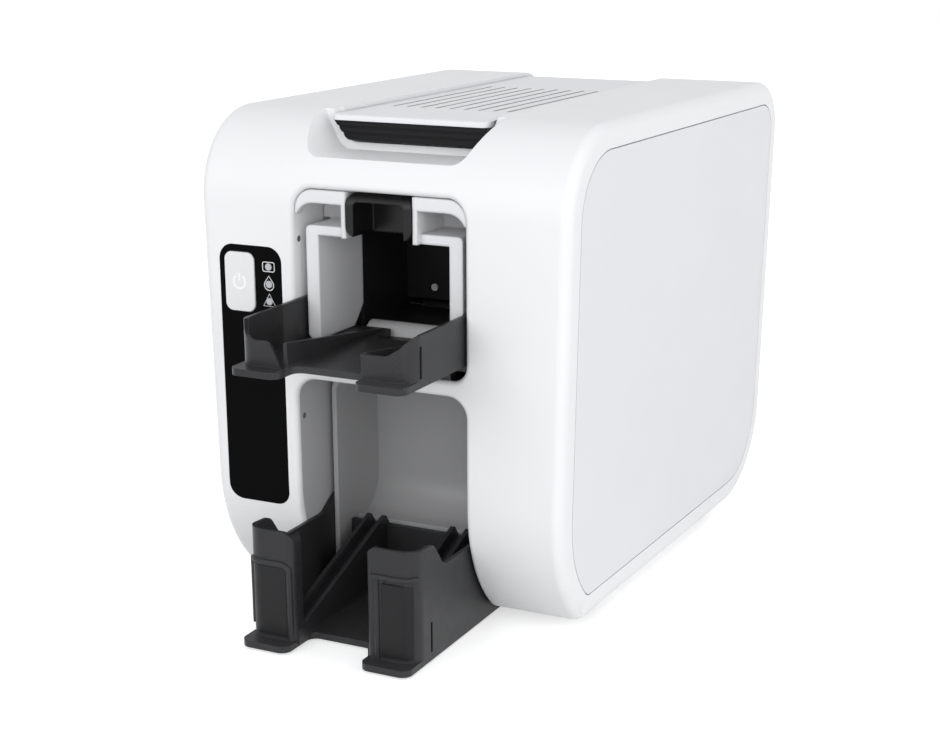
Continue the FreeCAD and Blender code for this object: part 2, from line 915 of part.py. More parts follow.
def lid_grip():
    half = scoop_half_floor - grip_pocket_narrow - grip_pocket_inset - grip_gap
    flare = scoop_flare * (lid_under - scoop_low) / (body_top - scoop_low)
    corners = [(bay_centre - half, grip_low, scoop_radius - grip_rise),
               (bay_centre + half, grip_low, scoop_radius - grip_rise),
               (bay_centre + half + flare, lid_under, 0), (bay_centre - half - flare, lid_under, 0)]
    strip = prism(corners, "y", grip_front, grip_front + grip_depth)
    cuts = []
    for index in range(groove_count):
        z = grip_low + (lid_under - grip_low) * (index + 1) / (groove_count + 1)
        cuts.append(block(-body_width, body_width, grip_front - overrun, grip_front + groove_depth,
                          z - groove_width / 2, z + groove_width / 2))
    return strip.cut(cuts)


def lid_hinge_rod():
    reach = plate_offset + plate_thickness + rod_overhang
    return rod("x", hinge_y, hinge_z, hinge_rod_radius, bay_centre - reach, bay_centre + reach)


# Control panel

def control_panel():
    plate = control_prism(0, -overrun, edge_radius).common(outer_casing())
    plate = plate.cut(casing_block(control_thickness, 0))
    cuts = light_rods(light_radius + light_gap, -overrun, wall + overrun)
    cuts.append(button_prism(button_gap, -overrun, wall + overrun))
    return plate.cut(cuts)


def power_button():
    cap = button_prism(0, -button_proud, wall + fit_gap)
    front = [edge for edge in cap.Edges if abs(edge.BoundBox.YMax + button_proud) < location_tolerance]
    cap = cap.makeFillet(button_proud, front)
    flange = button_prism(button_flange, wall + fit_gap, wall + fit_gap + button_flange_thickness)
    return union([cap, flange])


def status_lights():
    return Part.makeCompound(light_rods(light_radius, -light_proud, button_board_y))


def button_board():
    corners = rectangle(button_board_left, button_board_right, button_board_low, button_board_high,
                        board_corner)
    board = prism(corners, "y", button_board_y, button_board_y + board_thickness)
    x = (button_left + button_right) / 2
    z = (button_low + button_high) / 2
    half = switch_size / 2
    front = button_board_y - switch_depth
    switch = block(x - half, x + half, front, button_board_y, z - half, z + half)
    flange_rear = wall + fit_gap + button_flange_thickness
    plunger = rod("y", x, z, plunger_radius, flange_rear + button_travel + light_gap, front)
    return union([board, switch, plunger])


# Card hopper

def hopper_portal():
    """Pale frame for the cards, with a border for the hood and wings that close the bay."""
    rear = portal_setback + portal_depth
    wing_front = portal_setback + pocket_depth
    outer = prism(rectangle(bay_centre - portal_half_outer, bay_centre + portal_half_outer, portal_low,
                            portal_bar_high, portal_radius), "y", portal_setback, rear)
    border = hood_half_width + hood_border
    tower = prism([(bay_centre - border, portal_bar_low, 0), (bay_centre + border, portal_bar_low, 0),
                   (bay_centre + border, portal_border_high, hood_radius),
                   (bay_centre - border, portal_border_high, hood_radius)], "y", band_front, wing_front)
    bay = upper_bay(-fit_gap, band_front, wing_front + hood_wall)
    lowered = upper_bay(-fit_gap, band_front - overrun, wing_front)
    lowered.translate(VECTOR(0, 0, -band_height))
    behind = block(-body_width, body_width, band_front + band_thickness, wing_front, 0, body_top)
    below = block(-body_width, body_width, 0, wing_front, 0, band_low)
    under_bar = block(-body_width, body_width, wing_front - overrun, body_depth, 0, portal_bar_low)
    band = bay.cut([lowered, behind, below, under_bar])
    sides = []
    for x in (bay_left - overrun, bay_centre + portal_half_outer):
        width = bay_half_width - portal_half_outer + overrun
        sides.append(block(x, x + width, wing_front - overrun, body_depth, 0, portal_bar_high))
    frame = union([outer, tower, band.cut(sides)])
    inner = block(bay_centre - portal_half_inner, bay_centre + portal_half_inner, 0,
                  rear + overrun, portal_low - overrun, portal_bar_low)
    notch = block(bay_centre - hood_half_width, bay_centre + hood_half_width, 0,
                  wing_front, portal_low, body_top)
    frame = frame.cut([inner, notch])
    foot = [(rear + overrun, portal_low - overrun, 0), (rear - portal_chamfer, portal_low - overrun, 0),
            (rear + overrun, portal_low + portal_chamfer + overrun, 0)]
    return frame.cut(prism(foot, "x", -body_width, body_width))


def hopper_hood():
    """Dark hood over the cards, open at the front and below."""
    half = hood_half_width - hood_gap
    rear = portal_setback + pocket_depth
    box = prism(rectangle(bay_centre - half, bay_centre + half, hood_low, hood_high, hood_radius), "y",
                hood_front, rear)
    side_view = [(hood_front, hood_low - overrun, 0), (rear + overrun, hood_low - overrun, 0),
                 (rear + overrun, hood_high, 0), (hood_front, hood_high, hood_front_radius)]
    box = box.common(prism(side_view, "x", -body_width, body_width))
    inner_half = half - hood_wall
    inner = prism(rectangle(bay_centre - inner_half, bay_centre + inner_half, hood_low - hood_radius,
                            hood_high - hood_wall, hood_border), "y", hood_front - overrun,
                  hood_front + hood_recess)
    return box.cut(inner)


def hopper_liner():
    front = portal_setback + portal_depth
    inner = portal_half_inner
    outer = portal_half_inner + liner_wall
    wall_piece = prism([(front, liner_leg_low, 0), (liner_floor_front, liner_leg_low, 0),
                        (liner_floor_front, liner_floor - liner_wall, 0),
                        (liner_rear + liner_wall, liner_floor - liner_wall, 0),
                        (liner_rear + liner_wall, liner_high, 0), (front, liner_high, 0)],
                       "x", bay_centre + inner, bay_centre + outer)
    rear_wall = block(bay_centre - outer, bay_centre + outer, liner_rear, liner_rear + liner_wall,
                      liner_floor - liner_wall, liner_high)
    floor = block(bay_centre - outer, bay_centre + outer, liner_floor_front, liner_rear + liner_wall,
                  liner_floor - liner_wall, liner_floor)
    roof = block(bay_centre - outer, bay_centre + outer, front, liner_rear + liner_wall,
                 liner_high, liner_high + liner_wall)
    flange = upper_bay(sleeve_wall, front, front + liner_flange)
    flange = flange.cut(block(bay_centre - inner, bay_centre + inner, front - overrun,
                              front + liner_flange + overrun, 0, liner_high))
    flange = flange.cut(block(-body_width, body_width, front - overrun, front + liner_flange + overrun,
                              0, portal_low))
    whole = union([rear_wall, floor, roof, flange] + both_sides(wall_piece))
    slot = block(bay_centre - inner, bay_centre + inner, liner_rear - overrun,
                 liner_rear + liner_wall + overrun, liner_floor, liner_slot_high)
    pin = rod("y", hopper_sensor_x, hopper_sensor_z, hopper_sensor_radius, liner_rear - overrun,
              liner_rear + liner_wall + overrun)
    return whole.cut([slot, pin])


def hopper_sensor():
    return rod("y", hopper_sensor_x, hopper_sensor_z, hopper_sensor_radius, liner_rear - hopper_sensor_proud,
               liner_rear + liner_wall + hopper_sensor_proud)


def tray_bed():
    """Black bed on the floor of the upper bay, which carries the card tray."""
    plate = upper_bay(-bed_gap, bed_front, bed_rear).common(
        block(bay_left, bay_right, bed_front, bed_rear, bed_high - liner_wall, bed_high))
    pieces = [plate]
    margin = upper_bay_bottom_radius + liner_wall
    span = 2 * (bay_half_width - margin)
    for index in range(bed_rib_count):
        x = bay_left + margin + span * index / (bed_rib_count - 1)
        pieces.append(block(x - liner_wall / 2, x + liner_wall / 2, bed_front, bed_rear,
                            upper_bay_low, bed_high - liner_wall / 2))
    front = block(bay_left + margin, bay_right - margin, bed_front,
                  bed_front + liner_wall, upper_bay_low, bed_high - liner_wall / 2)
    return union(pieces + [front])


# Trays

def tray_strip(gap_edge, side, rear, low, high, turn_back):
    """Front plate, rounded corner and side wall of a tray, seen from above."""
    edge = tray_left if side < 0 else tray_right
    step = -side * tray_wall
    inner_front = tray_front + tray_wall
    corners = []
    if turn_back:
        corners += [(gap_edge + side * tray_wall, output_return_end, 0), (gap_edge, output_return_end, 0),
                    (gap_edge, tray_front, output_return_radius)]
    else:
        corners += [(gap_edge, inner_front, 0), (gap_edge, tray_front, 0)]
    corners += [(edge, tray_front, tray_corner), (edge, rear, 0), (edge + step, rear, 0),
                (edge + step, inner_front, tray_corner - tray_wall)]
    if turn_back:
        corners += [(gap_edge + side * tray_wall, inner_front, output_return_radius - tray_wall)]
    return prism(corners, "z", low, high)


def tray_floor_plate(low, thumb_rear, rear, notched):
    left_gap = bay_centre - thumb_half_width
    right_gap = bay_centre + thumb_half_width
    front = -tray_reach
    corners = [(tray_left, front, flange_radius), (left_gap, front, flange_radius),
               (left_gap, thumb_rear, flange_radius), (right_gap, thumb_rear, flange_radius),
               (right_gap, front, flange_radius), (tray_right, front, flange_radius),
               (tray_right, rear, least_radius)]
    if notched:
        notch_left = bay_centre - input_notch_half
        notch_right = bay_centre + input_notch_half
        corners += [(notch_right, rear, least_radius), (notch_right, input_notch_front, flange_radius),
                    (notch_left, input_notch_front, flange_radius), (notch_left, rear, least_radius)]
    corners.append((tray_left, rear, least_radius))
    return prism(corners, "z", low, low + tray_floor)


def input_tray():
    floor = tray_floor_plate(input_floor, input_thumb_rear, input_floor_end, True)
    low = input_floor + tray_floor / 2
    left_gap = bay_centre - thumb_half_width
    right_gap = bay_centre + thumb_half_width
    left = tray_strip(left_gap, -1, input_side_end, low, input_wall_top, False)
    right = tray_strip(right_gap, 1, input_side_end, low, input_wall_top, False)
    above = input_wall_top + overrun
    left_cut = [(input_plate_left, above, 0), (input_plate_left, input_front_top, input_curve_radius),
                (input_plate_fall, input_front_top, input_curve_radius),
                (input_plate_foot, input_plate_low, least_radius),
                (left_gap + overrun, input_plate_low, 0), (left_gap + overrun, above, 0)]
    right_cut = [(right_gap - overrun, above, 0), (right_gap - overrun, input_right_low, 0),
                 (input_right_rise, input_right_low, input_curve_radius),
                 (input_right_mid_x, input_right_mid, input_curve_radius), (tray_right, above, 0)]
    front = tray_front - overrun
    left = left.cut(prism(left_cut, "y", front, tray_front + tray_corner))
    right = right.cut(prism(right_cut, "y", front, tray_front + tray_corner))
    rear_drop = rail_slope_share * (input_floor_end - rail_front)
    rails = []
    for x in (rail_left, rail_right):
        corners = [(rail_front, low, 0), (rail_front, rail_front_top, 0),
                   (input_floor_end, rail_front_top - rear_drop, 0), (input_floor_end, low, 0)]
        rails.append(prism(corners, "x", x - rail_thickness / 2, x + rail_thickness / 2))
    slot = block(tray_right - tray_wall - overrun, tray_right + overrun, input_slot_y,
                 input_slot_y + post_slot_width, input_slot_low, input_slot_high)
    return union([floor, left, right] + rails).cut(slot)


def output_side(side):
    """Post, side wall and pair of ramps on one side of the lower tray."""
    gap_edge = bay_centre + side * thumb_half_width
    edge = tray_left if side < 0 else tray_right
    high = output_post_top + overrun
    strip = tray_strip(gap_edge, side, output_side_end, output_floor, high, True)
    below = output_floor - overrun
    profile = [(tray_front - overrun, below, 0), (tray_front - overrun, output_post_top, 0),
               (output_post_rear, output_post_fall, output_curve_radius),
               (output_notch_y, output_side_top, output_curve_radius),
               (output_rise_front, output_side_top, output_curve_radius),
               (output_rise_rear, output_side_rear_top, output_curve_radius),
               (output_side_end + overrun, output_side_rear_top, 0),
               (output_side_end + overrun, output_wall_lift_z, 0),
               (output_wall_lift_y, output_wall_lift_z, 0), (output_wall_lift_y, below, 0)]
    strip = strip.common(prism(profile, "x", -body_width, body_width))
    front_view = [(edge + side * overrun, below, 0), (edge + side * overrun, output_post_top, 0),
                  (gap_edge, output_post_top, output_curve_radius), (gap_edge, below, 0)]
    strip = strip.common(prism(front_view, "y", tray_front - overrun, output_side_end + overrun))
    near_rib = ramp_left if side < 0 else ramp_right
    low = output_floor + tray_floor / 2
    rise = ramp_slope_share * (ramp_tip_y - ramp_front)
    rib_profile = [(ramp_front, low, 0), (ramp_front, ramp_start_height, least_radius),
                   (ramp_tip_y, ramp_start_height + rise, least_radius),
                   (ramp_cross_rear, ramp_cross_high, 0), (ramp_cross_rear, low, 0)]
    web_profile = [(ramp_front, low, 0), (ramp_front, ramp_start_height - ramp_web_drop, 0),
                   (ramp_cross_front, ramp_start_height + rise - ramp_rear_drop, 0),
                   (ramp_cross_front, ramp_start_height + rise - ramp_rear_drop - ramp_wall, 0),
                   (ramp_front + ramp_spacing, low, 0)]
    half = ramp_wall / 2
    pieces = [strip]
    for x in (near_rib, near_rib + side * ramp_spacing):
        pieces.append(prism(rib_profile, "x", x - half, x + half))
    web_x = sorted((near_rib, near_rib + side * ramp_spacing))
    pieces.append(prism(web_profile, "x", web_x[0], web_x[1]))
    return pieces


def output_tray():
    floor = tray_floor_plate(output_floor, output_thumb_rear, output_floor_end, False)
    chute_inside = bay_half_width - chute_gap - chute_wall - tray_gap
    cross = block(bay_centre - chute_inside, bay_centre + chute_inside, ramp_cross_front, ramp_cross_rear,
                  output_floor + tray_floor / 2, ramp_cross_high)
    cuts = []
    inner = bay_half_width - tray_gap
    clear = output_wall_lift_z - base_top
    passage = block(bay_centre + inner - tongue_width - tray_wall, bay_centre + inner + overrun,
                    output_wall_lift_y, ramp_cross_rear + overrun, output_floor + tray_floor,
                    base_top + clear)
    cross = cross.cut(both_sides(passage))
    bead = [(bead_left, bead_high, 0), (bead_right, bead_high, bead_radius), (bead_right, bead_low, 0),
            (bead_right - bead_width, bead_low, 0),
            (bead_right - bead_width, bead_high - bead_width, bead_radius - bead_width),
            (bead_left, bead_high - bead_width, 0)]
    bead_strip = prism(bead, "y", tray_front - bead_height, tray_front + tray_wall / 2)
    cuts.append(prism(rectangle(recess_left, recess_right, recess_low, recess_high, bead_width),
                      "y", tray_front - overrun, tray_front + recess_depth))
    cuts.append(block(tray_right - tray_wall - overrun, tray_right + overrun, slot_y,
                      slot_y + post_slot_width, slot_low, slot_high))
    return union([floor, cross, bead_strip] + output_side(-1) + output_side(1)).cut(cuts)


def output_chute():
    half = bay_half_width - chute_gap
    rear = chute_rear + chute_wall
    outer_view = [(chute_front, chute_high, 0), (rear, chute_high, chute_wall),
                  (rear, chute_low, chute_cove + chute_wall), (chute_lip, chute_low, 0),
                  (chute_lip, chute_side_low, 0), (chute_front, chute_side_low, 0)]
    outer = prism(outer_view, "x", bay_centre - half, bay_centre + half)
    top = prism([(bay_centre - half, 0, 0), (bay_centre + half, 0, 0),
                 (bay_centre + half, chute_high, chute_corner + chute_wall),
                 (bay_centre - half, chute_high, chute_corner + chute_wall)], "y", 0, body_depth)
    outer = outer.common(top)
    inner_view = [(chute_front - overrun, chute_high - chute_wall, 0),
                  (chute_rear, chute_high - chute_wall, chute_wall),
                  (chute_rear, chute_low + chute_wall, chute_cove),
                  (chute_lip - overrun, chute_low + chute_wall, 0), (chute_lip - overrun, 0, 0),
                  (chute_front - overrun, 0, 0)]
    inner = prism(inner_view, "x", bay_centre - half + chute_wall, bay_centre + half - chute_wall)
    inner_top = prism([(bay_centre - half + chute_wall, 0, 0), (bay_centre + half - chute_wall, 0, 0),
                       (bay_centre + half - chute_wall, chute_high - chute_wall, chute_corner),
                       (bay_centre - half + chute_wall, chute_high - chute_wall, chute_corner)],
                      "y", 0, body_depth)
    trough = outer.cut(inner.common(inner_top))
    flange_half = plate_offset + plate_thickness
    ear = prism(rectangle(bay_centre + half - chute_wall, bay_centre + flange_half, chute_flange_low,
                          chute_high, least_radius), "y", chute_rear, rear)
    slot = block(bay_centre - portal_half_inner, bay_centre + portal_half_inner, chute_slot_front,
                 chute_slot_rear, chute_high - chute_wall - overrun, chute_high + overrun)
    return union([trough] + both_sides(ear)).cut(slot)


# Chassis

def chassis_plate(side, shaft_places, motor_place):
    corners = [(plate_front, base_top, 0), (plate_rear, base_top, plate_heel_radius),
               (plate_rear, plate_high, plate_rear_radius), (plate_front, plate_high, plate_front_radius),
               (plate_front, nose_high, nose_radius), (nose_front, nose_high, nose_radius),
               (nose_front, nose_low, nose_radius), (plate_front, nose_low, nose_radius)]
    near_face = bay_centre + side * plate_offset
    far_face = near_face + side * plate_thickness
    low, high = sorted((near_face, far_face))
    plate = prism(corners, "x", low, high)
    foot_low, foot_high = sorted((near_face, near_face - side * plate_flange))
    foot = block(min(low, foot_low), max(high, foot_high), flange_front, flange_rear, base_top,
                 base_top + plate_thickness)
    cuts = [rod("x", plate_hole_y, plate_hole_z, plate_hole_radius, low - overrun, high + overrun),
            rod("x", hinge_y, hinge_z, hinge_rod_radius, low - overrun, high + overrun)]
    for y, z in shaft_places:
        cuts.append(rod("x", y, z, bush_radius, low - overrun, high + overrun))
    if motor_place:
        cuts.append(rod("x", *motor_place, motor_hole_radius, low - overrun, high + overrun))
    return union([plate, foot]).cut(cuts)


def tie_bars():
    bars = []
    for y, z in tie_places:
        bars.append(rod("x", y, z, tie_bar_radius, bay_centre - plate_offset, bay_centre + plate_offset))
    return Part.makeCompound(bars)


def bushes(shaft_places):
    made = []
    inner = shaft_radius + running_gap
    outer_face = plate_offset + plate_thickness
    for y, z in shaft_places:
        for side in (-1, 1):
            low, high = sorted((bay_centre + side * plate_offset, bay_centre + side * outer_face))
            sleeve = ring("x", y, z, bush_radius, inner, low, high)
            low, high = sorted((bay_centre + side * outer_face,
                                bay_centre + side * (outer_face + bush_flange_thickness)))
            made.append(union([sleeve, ring("x", y, z, bush_flange, inner, low, high)]))
    return Part.makeCompound(made)


# Gears and rollers

def pitch_radius(teeth):
    return gear_module * teeth / 2


def gear(teeth, y, z, phase, bore, low=None):
    """Spur gear with its first tooth at an angle, seen along X."""
    low = gear_low if low is None else low
    high = low + gear_width
    pitch = full_turn / teeth
    tip = pitch_radius(teeth) + addendum_share * gear_module
    root = pitch_radius(teeth) - dedendum_share * gear_module
    points = []
    for index in range(teeth):
        centre = phase + index * pitch
        for radius, share in ((root, -tooth_root_share), (tip, -tooth_tip_share),
                              (tip, tooth_tip_share), (root, tooth_root_share)):
            angle = centre + share * pitch / 2
            points.append(place("x", y + radius * math.cos(angle), z + radius * math.sin(angle), low))
    body = Part.Face(Part.makePolygon(points + [points[0]])).extrude(VECTOR(gear_width, 0, 0))
    cuts = [rod("x", y, z, bore, low - overrun, high + overrun)]
    if root - gear_module - bore - hub_ring > hub_ring:
        outer = root - gear_module
        for start, end in ((low - overrun, low + web_inset), (high - web_inset, high + overrun)):
            cuts.append(ring("x", y, z, outer, bore + hub_ring, start, end))
    return body.cut(cuts)


def meshing_phase(teeth, phase, centre, other_teeth, other_centre):
    """First tooth angle of a gear that meshes with another gear."""
    line = math.atan2(other_centre[1] - centre[1], other_centre[0] - centre[0])
    pitch = full_turn / teeth
    share = ((line - phase) % pitch) / pitch
    return line + math.pi + (share + 0.5) * full_turn / other_teeth


def roller_sleeve(y, z, radius):
    return ring("x", y, z, radius, shaft_radius, bay_centre - roller_half_length,
                bay_centre + roller_half_length)


def plain_roller(y, z, radius):
    """Roller made in one piece with its spindle."""
    sleeve = rod("x", y, z, radius, bay_centre - roller_half_length, bay_centre + roller_half_length)
    return union([roller_shaft(y, z, False), sleeve])


def roller_shaft(y, z, geared):
    outer_face = plate_offset + plate_thickness + bush_flange_thickness
    low = bay_centre - outer_face - fit_gap - clip_width
    high = gear_high + clip_width if geared else bay_centre + outer_face + fit_gap + clip_width
    pieces = [rod("x", y, z, shaft_radius, low, high),
              rod("x", y, z, clip_radius, low, low + clip_width)]
    if geared:
        pieces.append(rod("x", y, z, clip_radius, bay_centre + outer_face + fit_gap, gear_low))
    else:
        pieces.append(rod("x", y, z, clip_radius, high - clip_width, high))
    return union(pieces)


def idler_post(y, z):
    face = bay_centre + plate_offset + plate_thickness
    shoulder = rod("x", y, z, post_shoulder, face, gear_low - fit_gap)
    pin = rod("x", y, z, post_radius, face, gear_high + fit_gap + post_head_height)
    head = rod("x", y, z, post_head, gear_high + fit_gap, gear_high + fit_gap + post_head_height)
    return union([shoulder, pin, head])


def drive_motor(y, z):
    face = bay_centre + plate_offset
    half = motor_size / 2
    body = prism(rectangle(y - half, y + half, z - half, z + half, motor_radius), "x",
                 face - motor_length, face)
    return body.cut(rod("x", y, z, motor_shaft_radius + running_gap, face - motor_bore, face + overrun))


def motor_pinion(y, z, phase):
    """Small gear with the motor shaft that carries it."""
    face = bay_centre + plate_offset
    shaft = rod("x", y, z, motor_shaft_radius, face - motor_bore + fit_gap, gear_high)
    return union([gear(pinion_teeth, y, z, phase, motor_shaft_radius), shaft])


# Ribbon and print head

def spool(y, z, rim, geared):
    """Core with two flanges on a spindle."""
    low = bay_centre - spool_half_length
    high = bay_centre + spool_half_length
    core = rod("x", y, z, core_radius, low, high)
    first = rod("x", y, z, rim, low, low + flange_thickness)
    second = rod("x", y, z, rim, high - flange_thickness, high)
    return union([roller_shaft(y, z, geared), core, first, second])


def ribbon_roll(y, z, radius):
    return ring("x", y, z, radius, core_radius, bay_centre - film_half_width, bay_centre + film_half_width)


def tangent_point(point, centre, radius, side):
    """Where a line from a point touches a circle, on one side of it."""
    distance = math.hypot(point[0] - centre[0], point[1] - centre[1])
    base = math.atan2(point[1] - centre[1], point[0] - centre[0])
    angle = base + side * math.acos(radius / distance)
    return (centre[0] + radius * math.cos(angle), centre[1] + radius * math.sin(angle))


def ribbon_film(winder):
    """Thin sheet from the full roll, under the print head, to the winding roll."""
    half = head_depth / 2
    low = head_tip_z - fit_gap
    right = (head_y + half, low)
    left = (head_y - head_tip_depth, low)
    feed = tangent_point(right, (supply_y, supply_z), supply_film_radius, 1)
    wind = tangent_point(left, winder, winder_film_radius, -1)
    path = [feed, right, left, wind]
    shifted = []
    for index in range(len(path)):
        before = path[max(index - 1, 0)]
        after = path[min(index + 1, len(path) - 1)]
        length = math.hypot(after[0] - before[0], after[1] - before[1])
        normal = (-(after[1] - before[1]) / length, (after[0] - before[0]) / length)
        shifted.append((path[index][0] + normal[0] * film_thickness,
                        path[index][1] + normal[1] * film_thickness))
    points = [place("x", *point, bay_centre - film_half_width) for point in path + shifted[::-1]]
    face = Part.Face(Part.makePolygon(points + [points[0]]))
    return face.extrude(VECTOR(2 * film_half_width, 0, 0))


def print_head():
    front = head_y - head_tip_depth
    rear = front + head_depth
    top = head_tip_z + head_height
    corners = [(head_y, head_tip_z, head_tip_radius), (rear, head_tip_z + head_tip_radius, 0), (rear, top, 0),
               (front, top, 0), (front, head_tip_z + head_front_rise, 0)]
    return prism(corners, "x", bay_centre - head_half_width, bay_centre + head_half_width)


def head_bracket():
    front = head_y - head_tip_depth
    low = head_tip_z + head_height
    left = bay_centre - bracket_half_width
    right = bay_centre + bracket_half_width
    foot = block(left, right, front, front + head_depth, low, low + head_bracket_wall)
    web = prism(rectangle(left, right, low, lid_under, 0), "y", front, front + head_bracket_wall)
    top = block(left, right, front, front + bracket_flange, lid_under - head_bracket_wall, lid_under)
    window = prism(rectangle(bay_centre - bracket_window_half, bay_centre + bracket_window_half,
                             bracket_window_low, bracket_window_high, bracket_radius),
                   "y", front - overrun, front + head_bracket_wall + overrun)
    return union([foot, web, top]).cut(window)


# Electronics

def board_outer():
    return bay_centre - plate_offset - plate_thickness - board_gap - board_thickness


def socket_frames(gap):
    """Outlines of the two sockets in the rear panel, with a gap round them."""
    edge = board_outer()
    frames = []
    for width, height, z in ((usb_width, usb_height, usb_z), (power_width, power_height, power_z)):
        frames.append((edge - width - gap, edge + gap, z - height / 2 - gap, z + height / 2 + gap))
    return frames


def main_board():
    edge = board_outer()
    pieces = [block(edge, edge + board_thickness, board_front, board_rear, board_low, board_high)]
    half = chip_size / 2
    length = board_rear - board_front
    height = board_high - board_low
    for along, up in chip_share_places:
        y = board_front + along * length
        z = board_low + up * height
        pieces.append(block(edge - chip_height, edge, y - half, y + half, z - half, z + half))
    for along, up in cap_share_places:
        y = board_front + along * length
        z = board_low + up * height
        pieces.append(rod("x", y, z, cap_radius, edge - cap_height, edge))
    return union(pieces)


def board_standoffs():
    made = []
    edge = board_outer() + board_thickness
    for y in (board_front + standoff_margin, board_rear - 2 * standoff_margin):
        for z in (board_low + standoff_margin, board_high - standoff_margin):
            made.append(rod("x", y, z, standoff_radius, edge, edge + board_gap))
    return Part.makeCompound(made)


def usb_socket():
    left, right, low, high = socket_frames(0)[0]
    rear = body_depth - socket_setback
    shell = block(left, right, rear - usb_length, rear, low, high)
    x = (left + right) / 2
    port = rectangle(x - usb_port_width / 2, x + usb_port_width / 2, usb_z - usb_port_height / 2,
                     usb_z + usb_port_height / 2, 0)
    hole = prism(port, "y", rear - port_depth, rear + overrun)
    half = usb_tongue / 2
    tongue = block(x - half, x + half, rear - port_depth - overrun, rear - overrun,
                   usb_z - half, usb_z + half)
    return union([shell.cut(hole), tongue])


def power_inlet():
    left, right, low, high = socket_frames(0)[1]
    rear = body_depth - socket_setback
    shell = block(left, right, rear - power_length, rear, low, high)
    x = (left + right) / 2
    bore = rod("y", x, power_z, power_bore, rear - port_depth, rear + overrun)
    pin = rod("y", x, power_z, power_pin, rear - port_depth - overrun, rear - overrun)
    return union([shell.cut(bore), pin])


def main():
    os.makedirs("parts", exist_ok=True)
    names = ("pick", "entry", "platen", "exit")
    roller_places = [(first_roller_y + roller_pitch * index, roller_height)
                     for index in range(roller_count)]
    upper_places = [(roller_places[1][0], upper_roller_height), (roller_places[3][0], upper_roller_height)]
    lean = math.radians(winder_angle)
    reach = pitch_radius(roller_teeth) + pitch_radius(winder_idler_teeth)
    winder_idler = (roller_places[1][0] + reach * math.cos(lean), roller_height + reach * math.sin(lean))
    reach += pitch_radius(winder_idler_teeth) + pitch_radius(winder_teeth)
    winder = (roller_places[1][0] + reach * math.cos(lean), roller_height + reach * math.sin(lean))
    supply = (supply_y, supply_z)
    shaft_places = roller_places + upper_places + [winder, supply]

    save("main_cover", main_cover())
    save("left_side_panel", side_panel(-1))
    save("right_side_panel", side_panel(1))
    save("rear_panel", rear_panel())
    save("rear_panel_screws", rear_panel_screws())
    save("base_plate", base_plate())
    save("rubber_feet", rubber_feet())
    save("lid", lid())
    save("lid_grip", lid_grip())
    save("lid_hinge_rod", lid_hinge_rod())
    save("control_panel", control_panel())
    save("power_button", power_button())
    save("status_lights", status_lights())
    save("button_board", button_board())
    save("hopper_portal", hopper_portal())
    save("hopper_hood", hopper_hood())
    save("hopper_liner", hopper_liner())
    save("hopper_sensor", hopper_sensor())
    save("tray_bed", tray_bed())
    save("input_tray", input_tray())
    save("output_tray", output_tray())
    save("output_chute", output_chute())
    save("chassis_left_plate", chassis_plate(-1, shaft_places, None))
    motor_place = ((roller_places[1][0] + roller_places[2][0]) / 2,
                   roller_height - pitch_radius(idler_teeth) - pitch_radius(pinion_teeth))
    save("chassis_right_plate", chassis_plate(1, shaft_places, motor_place))
    save("tie_bars", tie_bars())
    save("shaft_bushes", bushes(shaft_places))

    phase = 0.0
    previous = None
    for index, name in enumerate(names):
        y, z = roller_places[index]
        if previous:
            centre = ((previous[0] + y) / 2, z)
            idler_phase = meshing_phase(roller_teeth, phase, previous, idler_teeth, centre)
            idler_name = ("front", "middle", "rear")[index - 1]
            idler = gear(idler_teeth, *centre, idler_phase, post_radius + running_gap)
            save("idler_gear_" + idler_name, idler)
            if idler_name == "middle":
                pinion_phase = meshing_phase(idler_teeth, idler_phase, centre, pinion_teeth, motor_place)
                save("motor_pinion", motor_pinion(*motor_place, pinion_phase))
                save("drive_motor", drive_motor(*motor_place))
            phase = meshing_phase(idler_teeth, idler_phase, centre, roller_teeth, (y, z))
        save(name + "_roller", roller_sleeve(y, z, roller_radius))
        save(name + "_shaft", roller_shaft(y, z, True))
        save(name + "_gear", gear(roller_teeth, y, z, phase, shaft_radius))
        if name == "entry":
            winder_idler_phase = meshing_phase(roller_teeth, phase, (y, z), winder_idler_teeth, winder_idler)
            winder_phase = meshing_phase(winder_idler_teeth, winder_idler_phase, winder_idler,
                                         winder_teeth, winder)
        previous = (y, z)
    save("winder_idler_gear", gear(winder_idler_teeth, *winder_idler, winder_idler_phase,
                                   post_radius + running_gap))
    save("take_up_gear", gear(winder_teeth, *winder, winder_phase, shaft_radius))
    posts = [idler_post((roller_places[index][0] + roller_places[index + 1][0]) / 2, roller_height)
             for index in range(len(names) - 1)]
    save("idler_posts", Part.makeCompound(posts + [idler_post(*winder_idler)]))
    save("cleaning_roller", plain_roller(*upper_places[0], upper_roller_radius))
    save("pinch_roller", plain_roller(*upper_places[1], upper_roller_radius))
    save("take_up_spool", spool(*winder, winder_flange_radius, True))
    save("take_up_ribbon", ribbon_roll(*winder, winder_film_radius))
    save("supply_spool", spool(*supply, supply_flange_radius, False))
    save("supply_ribbon", ribbon_roll(*supply, supply_film_radius))
    save("ribbon_film", ribbon_film(winder))
    save("print_head", print_head())
    save("head_bracket", head_bracket())
    save("main_board", main_board())
    save("board_standoffs", board_standoffs())
    save("usb_socket", usb_socket())
    save("power_inlet", power_inlet())


main()
